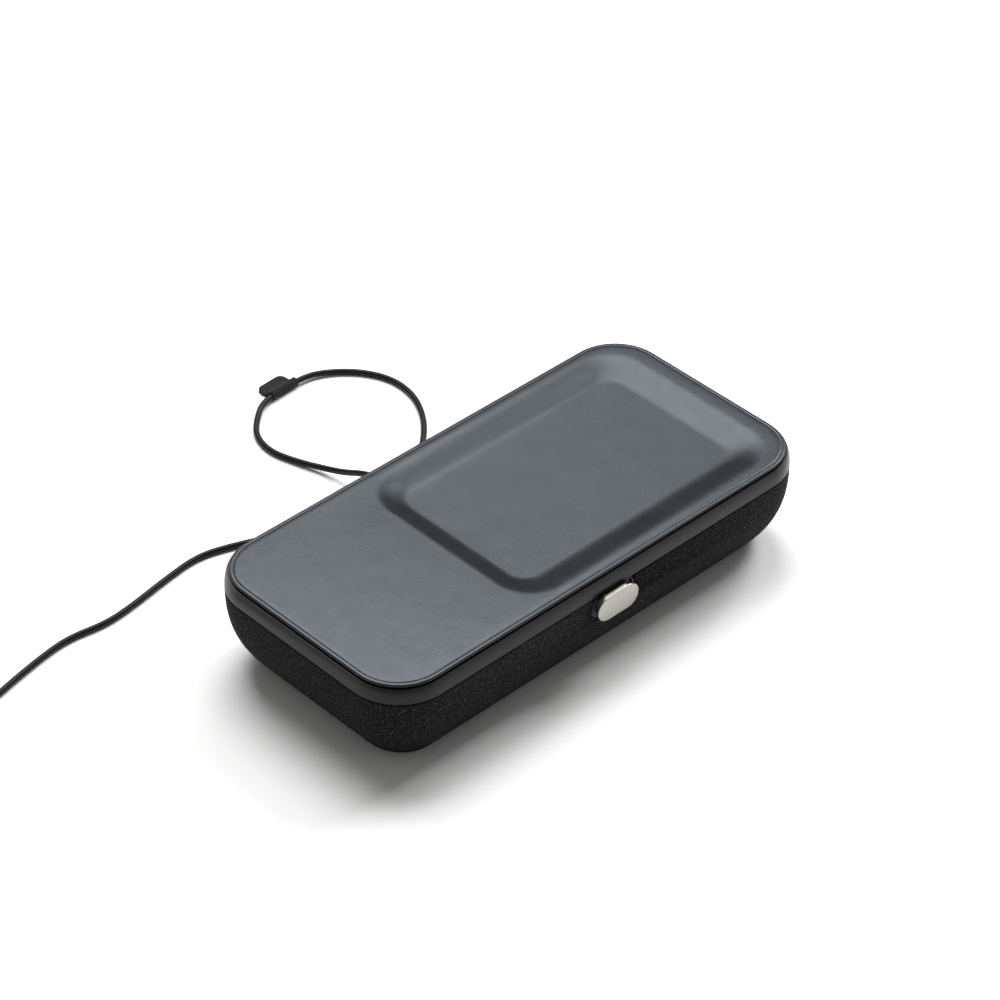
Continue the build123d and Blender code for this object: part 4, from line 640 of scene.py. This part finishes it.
# Leather, drum dyed and finished with a thin matt film: charcoal, fine pebbled grain of about 0.6 mm,
# a cool sheen at a low angle, faint cloudy and rubbed patches
leather = start_finish(
    "pebbled_leather",
    {
        "Specular IOR Level": 0.6,
        "Specular Tint": linear("DDEBF6"),
        "Sheen Weight": 0.04,
        "Sheen Roughness": 0.4,
    },
)
place = add(leather, "TexCoord", {}).outputs["Object"]
clouds = add(leather, "TexNoise", {"Vector": place, "Scale": 1 / (30 * mm), "Detail": 3.0})
hide = add(leather, "ValToRGB", {"Fac": clouds, "colours": {0.3: "101113", 0.7: "191A1D"}})
link(leather, "Base Color", hide)
pebbles = add(leather, "TexVoronoi", {"Vector": place, "Scale": 1 / (0.6 * mm)})
pores = add(leather, "TexNoise", {"Vector": place, "Scale": 1 / (0.35 * mm), "Detail": 2.0})
grain = add(leather, "Math", {"operation": "MULTIPLY_ADD", 0: pores, 1: 0.4, 2: pebbles})
drape = add(leather, "TexNoise", {"Vector": place, "Scale": 1 / (16 * mm), "Detail": 2.0})
slack = add(leather, "Bump", {"Height": drape, "Distance": 0.3 * mm, "Strength": 0.4})
pressed = add(leather, "Bump", {"Height": grain, "Distance": 0.035 * mm, "Strength": 0.8, "Normal": slack})
link(leather, "Normal", pressed)
rubbed = add(leather, "TexNoise", {"Vector": place, "Scale": 1 / (7 * mm), "Detail": 6.0, "Roughness": 0.6})
film = add(
    leather, "MapRange", {"Value": rubbed, "From Min": 0.3, "From Max": 0.7, "To Min": 0.29, "To Max": 0.35}
)
link(leather, "Roughness", film)
leather_skin.data.materials.append(leather)
leather_skin.modifiers.new("soft_shading", "NODES").node_group = shade_by_angle

# --- Charger in the lid ------------------------------------------------------
# Under the charging zone: a flat coil of enamelled copper on a ferrite sheet,
# pressed up by a foam pad, and a driver board on two posts.

# Enamelled copper wire wound flat: fine rings about the coil's middle
copper = start_finish("enamelled_copper", {"Metallic": 1.0, "Roughness": 0.3})
place = add(copper, "TexCoord", {}).outputs["Object"]
middle = add(copper, "VectorMath", {"operation": "SUBTRACT", 0: place, 1: (-0.08, 0, 0.0446)})
turns = add(
    copper,
    "TexWave",
    {"Vector": middle, "wave_type": "RINGS", "rings_direction": "Z", "Scale": 1 / (4 * mm)},
)
wire = add(copper, "ValToRGB", {"Fac": turns, "colours": {0: "6B3418", 1: "B9683A"}})
link(copper, "Base Color", wire)
dress(copper, "charging_coil")

# Sintered ferrite: dark grey ceramic, dull, faintly speckled
ferrite = start_finish("sintered_ferrite", {"Roughness": 0.6})
speckle = moulded_grain(ferrite, 0.4, 0.01)
ash = add(ferrite, "ValToRGB", {"Fac": speckle, "colours": {0: "232325", 1: "38383B"}})
link(ferrite, "Base Color", ash)
dress(ferrite, "ferrite_plate")

# Epoxy mould compound of the chips: black, matt, faintly speckled
chip_epoxy = start_finish("epoxy_compound", {"Roughness": 0.55})
speckle = moulded_grain(chip_epoxy, 0.2, 0.005)
dull = add(chip_epoxy, "ValToRGB", {"Fac": speckle, "colours": {0: "141415", 1: "222224"}})
link(chip_epoxy, "Base Color", dull)
dress(chip_epoxy, "board_components")
board_screw = (1.24, 0.69, 0.6, 2.4)
board_screw_places = [(-106, -46, 0), (-54, -34, 0)]
screws("board_screw_set", "board_screws", board_screw_places, (0, 0, 42.6), (0, 0, -1), board_screw, "lid")

# The pad: a crowned square of foam whose sides bow in between the ferrite and the panel
charge_x, pad_half, pad_corner, pad_bottom, pad_height, pad_bow = -80.0, 23.5, 2.5, 41.5, 1.6, 0.45
pad_rings = []
for step in range(9):
    share = step / 8
    half = pad_half - pad_bow * math.sin(math.pi * share)
    pad_rings.append(ring(half, half, pad_corner, pad_bottom + pad_height * share, centre=charge_x))
foam_cushion = skin("foam_cushion", pad_rings, start_cap=True, end_cap=True)
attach(foam_cushion, "lid")
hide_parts("foam_pad")

# Open-cell polyurethane foam, cut: grey, full of small pores, which are painted as darker spots of shade
cut_foam = start_finish("cut_polyurethane_foam", {"Roughness": 0.95})
place = add(cut_foam, "TexCoord", {}).outputs["Object"]
cells = add(cut_foam, "TexVoronoi", {"Vector": place, "Scale": 1 / (0.7 * mm)})
# Darker at the middle of each cell: painted shade in the open pores
foam_grey_and_pore_shade = add(cut_foam, "ValToRGB", {"Fac": cells, "colours": {0: "55565A", 1: "7C7E82"}})
link(cut_foam, "Base Color", foam_grey_and_pore_shade)
foam_cushion.data.materials.append(cut_foam)

# --- Lid panel and felt lining -----------------------------------------------
# A flat ABS panel that closes the lid from below, held by four screws, and a
# sheet of die-cut felt glued over it and the screws.
dress(moulded_abs, "lid_panel")
ease(0, "lid_panel")
lid_screw = (1.88, 0.95, 0.6, 4.6)
lid_screw_places = [(x, y, 0) for x in (-100, 100) for y in (-53.8, 53.8)]
screws("lid_screw_set", "lid_screws", lid_screw_places, (0, 0, 40.2), (0, 0, -1), lid_screw, "lid")


def block(name, x_range, y_range):
    """A straight-sided cutter right through the felt, between limits in millimetres."""
    corners = [(x_range[i], y_range[j]) for i, j in ((0, 0), (1, 0), (1, 1), (0, 1))]
    rings = [[Vector((x, y, z)) * mm for x, y in corners] for z in (39, 41)]
    return skin(name, rings, start_cap=True, end_cap=True)


felt_half_length, felt_half_width, felt_corner = 118.4, 57.2, 22.0
felt_rings = []
for height, inset in ((39.6, 0.12), (39.66, 0.03), (39.75, 0.0), (40.2, 0.0)):
    felt_rings.append(ring(felt_half_length - inset, felt_half_width - inset, felt_corner - inset, height))
felt_lining = skin("felt_lining", felt_rings, start_cap=True, end_cap=True)
felt_cutters = [
    block("left_notch", (-91.2, -52.8), (46.1, 70)),
    block("right_notch", (52.8, 91.2), (46.1, 70)),
    block("striker_notch", (-10.3, 10.3), (-70, -48.0)),
    block("lead_slot", (-99.3, -94.7), (48.45, 49.35)),
]
cut_out(felt_lining, felt_cutters)
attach(felt_lining, "lid")
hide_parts("lid_lining")

# Needled polyester felt: charcoal, matt, a nap of short fibres lying every way
felt = start_finish("needled_felt", {"Roughness": 0.97, "Sheen Weight": 0.35, "Sheen Roughness": 0.6})
place = add(felt, "TexCoord", {}).outputs["Object"]
fibres = add(felt, "TexNoise", {"Vector": place, "Scale": 1 / (1.2 * mm), "Detail": 6.0, "Distortion": 2.5})
nap = add(felt, "ValToRGB", {"Fac": fibres, "colours": {0.3: "303135", 0.75: "595B60"}})
link(felt, "Base Color", nap)
pile = add(felt, "Bump", {"Height": fibres, "Distance": 0.15 * mm, "Strength": 0.7})
link(felt, "Normal", pile)
felt_lining.data.materials.append(felt)
felt_lining.modifiers.new("soft_shading", "NODES").node_group = shade_by_angle

# --- Striker -----------------------------------------------------------------
# A stamped, nickel plated steel plate with a window for the hook, screwed up
# against the lid's front, where the felt is cut out for it.
dress(nickel_steel, "latch_striker")
ease(0.15, "latch_striker")
striker_places = [(-7.6, -52.6, 0), (7.6, -52.6, 0)]
screws("striker_screw_set", "striker_screws", striker_places, (0, 0, 40.4), (0, 0, -1), small_screw, "lid")

# --- Power lead --------------------------------------------------------------
# A thin round lead with a TPE jacket. It lies in one loop behind the case, runs
# off to the left and is put away in a small coil of two layers.
lead_radius = 1.4
# Points of its middle line in millimetres, from the plug in the port to the start of the coil
route = [
    (0, 79.6, 13),
    (0, 85, 13),
    (-0.7, 94.5, 10.4),
    (-2.2, 105, 5.6),
    (-3.4, 114.5, 2.6),
    (-9, 129.5, 1.4),
    (-13, 143.5, 1.4),
    (-10.2, 156.5, 1.4),
    (-1.5, 165.8, 1.6),
    (8.5, 172.9, 2.45),
    (33.5, 174.3, 2.45),
    (45.2, 170.3, 1.6),
    (56.5, 160.3, 1.4),
    (63.4, 146, 1.4),
    (62.2, 130, 1.4),
    (54.5, 115, 1.4),
    (42.5, 102, 1.4),
    (27.5, 91.5, 1.4),
    (9, 85.5, 1.4),
    (-12, 84.5, 1.4),
    (-33, 89, 1.4),
    (-52, 97, 1.4),
    (-69, 104.5, 1.4),
    (-84, 109, 1.4),
    (-104, 106.4, 1.4),
    (-124, 102.8, 1.4),
    (-140, 101.2, 1.4),
    (-157.5, 104.6, 1.4),
    (-172, 103, 1.4),
    (-188, 99.8, 1.4),
    (-203, 96.3, 1.4),
    (-217.5, 93.8, 1.4),
]
# The coil: half turns that draw in on the table, then lift to a second layer and draw out again
entry, before_entry = Vector(route[-1]), Vector(route[-2])
heading = (entry - before_entry).normalized()
inward = Vector((heading.y, -heading.x, 0))
outer_radius, turn_pitch, layer_step, half_turns = 18.8, 3.3, 3.25, 8
steps_per_half = 8
# A curve of the second degree runs inside its points, so they lie a little outside the turn
widen = 1 / (0.75 + 0.25 * math.cos(math.pi / steps_per_half))
start, height = entry.copy(), lead_radius
for half in range(half_turns):
    radius = outer_radius - turn_pitch / 2 * min(half, half_turns - half)
    ahead = heading if half % 2 == 0 else -heading
    across = inward if half % 2 == 0 else -inward
    for step in range(steps_per_half):
        share = (step + 0.5) / steps_per_half
        turn = math.pi * share
        lift = layer_step * share * share * (3 - 2 * share) if half == half_turns // 2 else 0.0
        point = start + across * radius
        point = point + (ahead * math.sin(turn) - across * math.cos(turn)) * (radius * widen)
        route.append((point.x, point.y, height + lift))
    start = start + across * (2 * radius)
    if half == half_turns // 2:
        height += layer_step
# The tail: off the coil's upper layer and down to the far plug
coil_top, supply_height = lead_radius + layer_step, 4.0
out_end = start + heading * 7
low_end = start + heading * 21 - inward * 2.5
tail_heading = Vector((low_end.x - out_end.x, low_end.y - out_end.y, 0)).normalized()
lead_end = low_end + tail_heading * 7
route += [
    (start.x, start.y, coil_top),
    (out_end.x, out_end.y, coil_top),
    (low_end.x, low_end.y, supply_height),
    (lead_end.x, lead_end.y, supply_height),
]
lead_curve = bpy.data.curves.new("power_lead", "CURVE")
lead_curve.dimensions = "3D"
spline = lead_curve.splines.new("NURBS")
spline.points.add(len(route) - 1)
for place, point in zip(spline.points, route):
    place.co = (*(Vector(point) * mm), 1.0)
    place.radius = lead_radius * mm
spline.order_u = 3
spline.use_endpoint_u = True
lead_curve.resolution_u = 8
lead_curve.bevel_depth = 1.0
lead_curve.bevel_resolution = 4
power_lead = bpy.data.objects.new("power_lead", lead_curve)
bpy.context.scene.collection.objects.link(power_lead)
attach(power_lead, "base")
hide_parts("power_cord", "cord_coil", "cord_tail")

# TPE jacket, extruded: satin black with a very fine drawn texture
tpe_jacket = start_finish("extruded_tpe", {"Specular IOR Level": 0.25})
speckle = moulded_grain(tpe_jacket, 0.45, 0.015)
jacket = add(tpe_jacket, "ValToRGB", {"Fac": speckle, "colours": {0: "0B0B0C", 1: "151516"}})
link(tpe_jacket, "Base Color", jacket)
matt = add(tpe_jacket, "MapRange", {"Value": speckle, "To Min": 0.38, "To Max": 0.52})
link(tpe_jacket, "Roughness", matt)
power_lead.data.materials.append(tpe_jacket)

# --- Plugs on the lead -------------------------------------------------------
# Two moulded TPE grips with tapered, grooved strain reliefs: the small one in the
# case's port, the wide flat one at the far end, each over a metal shell.


def grip(name, node, origin, ahead, half_wide, half_high, corner, length, relief):
    """A grip with eased edges and a grooved relief. Its relief ends at the lead, its mouth at the shell."""
    side = Vector((-ahead.y, ahead.x, 0))
    sections = []
    mouth = ((0.0, 0.5), (0.25, 0.12), (0.6, 0.0))
    shoulder = ((length - 1.3, 0.0), (length - 0.6, 0.15), (length - 0.15, 0.55), (length, 1.1))
    for distance, inset in mouth + shoulder:
        sections.append((distance, ring(half_wide - inset, half_high - inset, corner - inset, 0)))
    start_radius, end_radius, relief_length = relief
    grooves, groove_depth = 4, 0.28
    for step in range(4 * grooves + 1):
        share = step / (4 * grooves)
        radius = start_radius + (end_radius - start_radius) * share
        if step % 4 > 1:
            radius -= groove_depth
        sections.append((length + relief_length * share, ring(radius, radius, radius, 0)))
    rings = [
        [(origin + side * (p.x / mm) + Vector((0, 0, p.y / mm)) + ahead * distance) * mm for p in flat_ring]
        for distance, flat_ring in sections
    ]
    piece = skin(name, rings, start_cap=True, end_cap=True)
    piece.data.materials.append(plug_tpe)
    piece.modifiers.new("soft_shading", "NODES").node_group = shade_by_angle
    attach(piece, "base")
    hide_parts(node)
    return piece


# TPE, overmoulded in an eroded steel mould: soft satin black, a little rubbery
plug_tpe = start_finish("overmoulded_tpe", {"Roughness": 0.5, "IOR": 1.5})
speckle = moulded_grain(plug_tpe, 0.3, 0.01)
rubbery = add(plug_tpe, "ValToRGB", {"Fac": speckle, "colours": {0: "141517", 1: "1F2022"}})
link(plug_tpe, "Base Color", rubbery)

port_mouth = Vector((0, 53.6, port_height))
port_grip = grip(
    "port_plug_grip", "port_plug", port_mouth, Vector((0, 1, 0)), 5.7, 3.1, 3.1, 18.0, (2.6, 1.8, 8.0)
)
supply_length, supply_relief = 20.0, (2.8, 1.8, 7.0)
to_mouth = tail_heading * (supply_length + supply_relief[2])
supply_mouth = lead_end.xy.to_3d() + Vector((0, 0, supply_height)) + to_mouth
supply_grip = grip(
    "supply_plug_grip",
    "supply_plug",
    supply_mouth,
    -tail_heading,
    7.8,
    4.0,
    2.4,
    supply_length,
    supply_relief,
)

# --- Cable tie ---------------------------------------------------------------
# A strap of hook-and-loop tape, wrapped round the lead and pressed double onto
# itself, with a rounded end.
tie_start, tie_end = (Vector((*route[point][:2], 0)) for point in (9, 10))
tie_along = (tie_end - tie_start).normalized()
tie_across = Vector((-tie_along.y, tie_along.x, 0))
tie_middle = (tie_start + tie_end) / 2
tie_width, tape = 15.5, 0.7
loop_radius, loop_height = 1.85, 2.45
# Distances from the lead with their heights: the lower flap, the loop, then the upper flap
low_flap, high_flap = 0.36, 1.1
flap = (6.2, 7.2, 8.0, 8.7, 9.3, 9.7, 9.95)
strip = [(across, low_flap) for across in flap[::-1] + (4.6, 3.6, 2.6)]
for step in range(17):
    turn = math.radians(-100 - 245 * step / 16)
    strip.append((loop_radius * math.cos(turn), loop_height + loop_radius * math.sin(turn)))
strip += [(2.8, 2.1), (3.5, 1.5), (4.6, 1.16)] + [(across, high_flap) for across in flap]
# The strap's ends are cut round in plan
end_round, straight_length = 3.2, 6.8
rows = []
for across, height in strip:
    beyond = max(0.0, across - straight_length) / end_round
    half = tie_width / 2 - end_round * (1 - math.sqrt(max(0.0, 1 - beyond**2)))
    middle = tie_middle + tie_across * across + Vector((0, 0, height))
    rows.append([(middle + tie_along * (half * (-1 + 2 * step / 12))) * mm for step in range(13)])
mesh = bmesh.new()
lines = [[mesh.verts.new(point) for point in row] for row in rows]
for low, high in zip(lines, lines[1:]):
    for a, b, c, d in zip(low, low[1:], high[1:], high):
        mesh.faces.new((a, b, c, d)).smooth = True
tie_data = bpy.data.meshes.new("tie_strap")
mesh.to_mesh(tie_data)
mesh.free()
tie_strap = bpy.data.objects.new("tie_strap", tie_data)
bpy.context.scene.collection.objects.link(tie_strap)
body = tie_strap.modifiers.new("tape", "SOLIDIFY")
body.thickness = tape * mm
body.offset = 0.0
tie_strap.modifiers.new("soft_shading", "NODES").node_group = shade_by_angle
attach(tie_strap, "base")
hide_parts("cable_tie")

# Polyamide loop tape: black, matt, with a fuzzy pile
loop_tape = start_finish(
    "polyamide_loop_tape", {"Roughness": 0.9, "Sheen Weight": 0.08, "Sheen Roughness": 0.4}
)
place = add(loop_tape, "TexCoord", {}).outputs["Object"]
loops = add(
    loop_tape, "TexNoise", {"Vector": place, "Scale": 1 / (0.5 * mm), "Detail": 4.0, "Distortion": 1.5}
)
fuzz = add(loop_tape, "ValToRGB", {"Fac": loops, "colours": {0.3: "0D0D0E", 0.75: "28292B"}})
link(loop_tape, "Base Color", fuzz)
pile = add(loop_tape, "Bump", {"Height": loops, "Distance": 0.2 * mm, "Strength": 0.8})
link(loop_tape, "Normal", pile)
tie_strap.data.materials.append(loop_tape)

# --- Floor, light and camera -------------------------------------------------
# A white studio table, one large soft lamp behind and above, a smaller one at the
# right, and the camera where the photograph was taken from.
floor_mesh = bmesh.new()
bmesh.ops.create_grid(floor_mesh, x_segments=8, y_segments=8, size=9.0)
floor_data = bpy.data.meshes.new("table_top")
floor_mesh.to_mesh(floor_data)
floor_mesh.free()
table_top = bpy.data.objects.new("table_top", floor_data)
# Just under the foot and the lead, so that no two faces share one height
table_top.location.z = -0.00005
bpy.context.scene.collection.objects.link(table_top)

# White laminate: pale and matt. What the camera and the reflections see of it is lifted to white,
# and it keeps its shadows
laminate = start_finish("white_laminate", {"Roughness": 0.9, "Specular IOR Level": 0.1})
rays = add(laminate, "LightPath", {})
seen = add(
    laminate,
    "Math",
    {"operation": "ADD", 0: rays.outputs["Is Camera Ray"], 1: rays.outputs["Is Glossy Ray"]},
)
seen = add(
    laminate,
    "Math",
    {"operation": "ADD", "use_clamp": True, 0: seen, 1: rays.outputs["Is Transmission Ray"]},
)
lift = add(
    laminate, "Mix", {"data_type": "RGBA", 0: seen, 6: (0.8, 0.8, 0.8, 1.0), 7: (1.4, 1.4, 1.4, 1.0)}
)
link(laminate, "Base Color", lift, 2)
table_top.data.materials.append(laminate)

world = bpy.data.worlds.new("studio")
world.use_nodes = True
world.node_tree.nodes["Background"].inputs["Color"].default_value = (1.0, 1.0, 0.98, 1.0)
world.node_tree.nodes["Background"].inputs["Strength"].default_value = 0.16
bpy.context.scene.world = world

for name, place, size, power in (
    ("back_softbox", (0.53, 0.92, 1.7), 1.3, 32.0),
    ("side_softbox", (1.3, 0.05, 1.15), 0.6, 14.0),
):
    lamp_data = bpy.data.lights.new(name, "AREA")
    lamp_data.shape, lamp_data.size, lamp_data.energy = "SQUARE", size, power
    lamp = bpy.data.objects.new(name, lamp_data)
    lamp.location = place
    lamp.rotation_euler = (-Vector(place)).to_track_quat("-Z", "Y").to_euler()
    bpy.context.scene.collection.objects.link(lamp)

back = Vector((-0.53911, -0.56408, 0.62544)).normalized()
level = Vector((0, 0, 1)).cross(back).normalized()
roll = math.radians(0.246)
right = level * math.cos(roll) + back.cross(level) * math.sin(roll)
up = back.cross(right)
lens_data = bpy.data.cameras.new("camera")
lens_data.sensor_width = 36.0
lens_data.lens = 130.37
camera = bpy.data.objects.new("camera", lens_data)
camera_place = Vector((-820.98, -851.06, 997.91)) * mm
camera_turn = Matrix((right, up, back)).transposed().to_4x4()
camera.matrix_world = Matrix.Translation(camera_place) @ camera_turn
bpy.context.scene.collection.objects.link(camera)
bpy.context.scene.camera = camera
bpy.context.scene.view_settings.view_transform = "Standard"

bpy.context.view_layer.update()
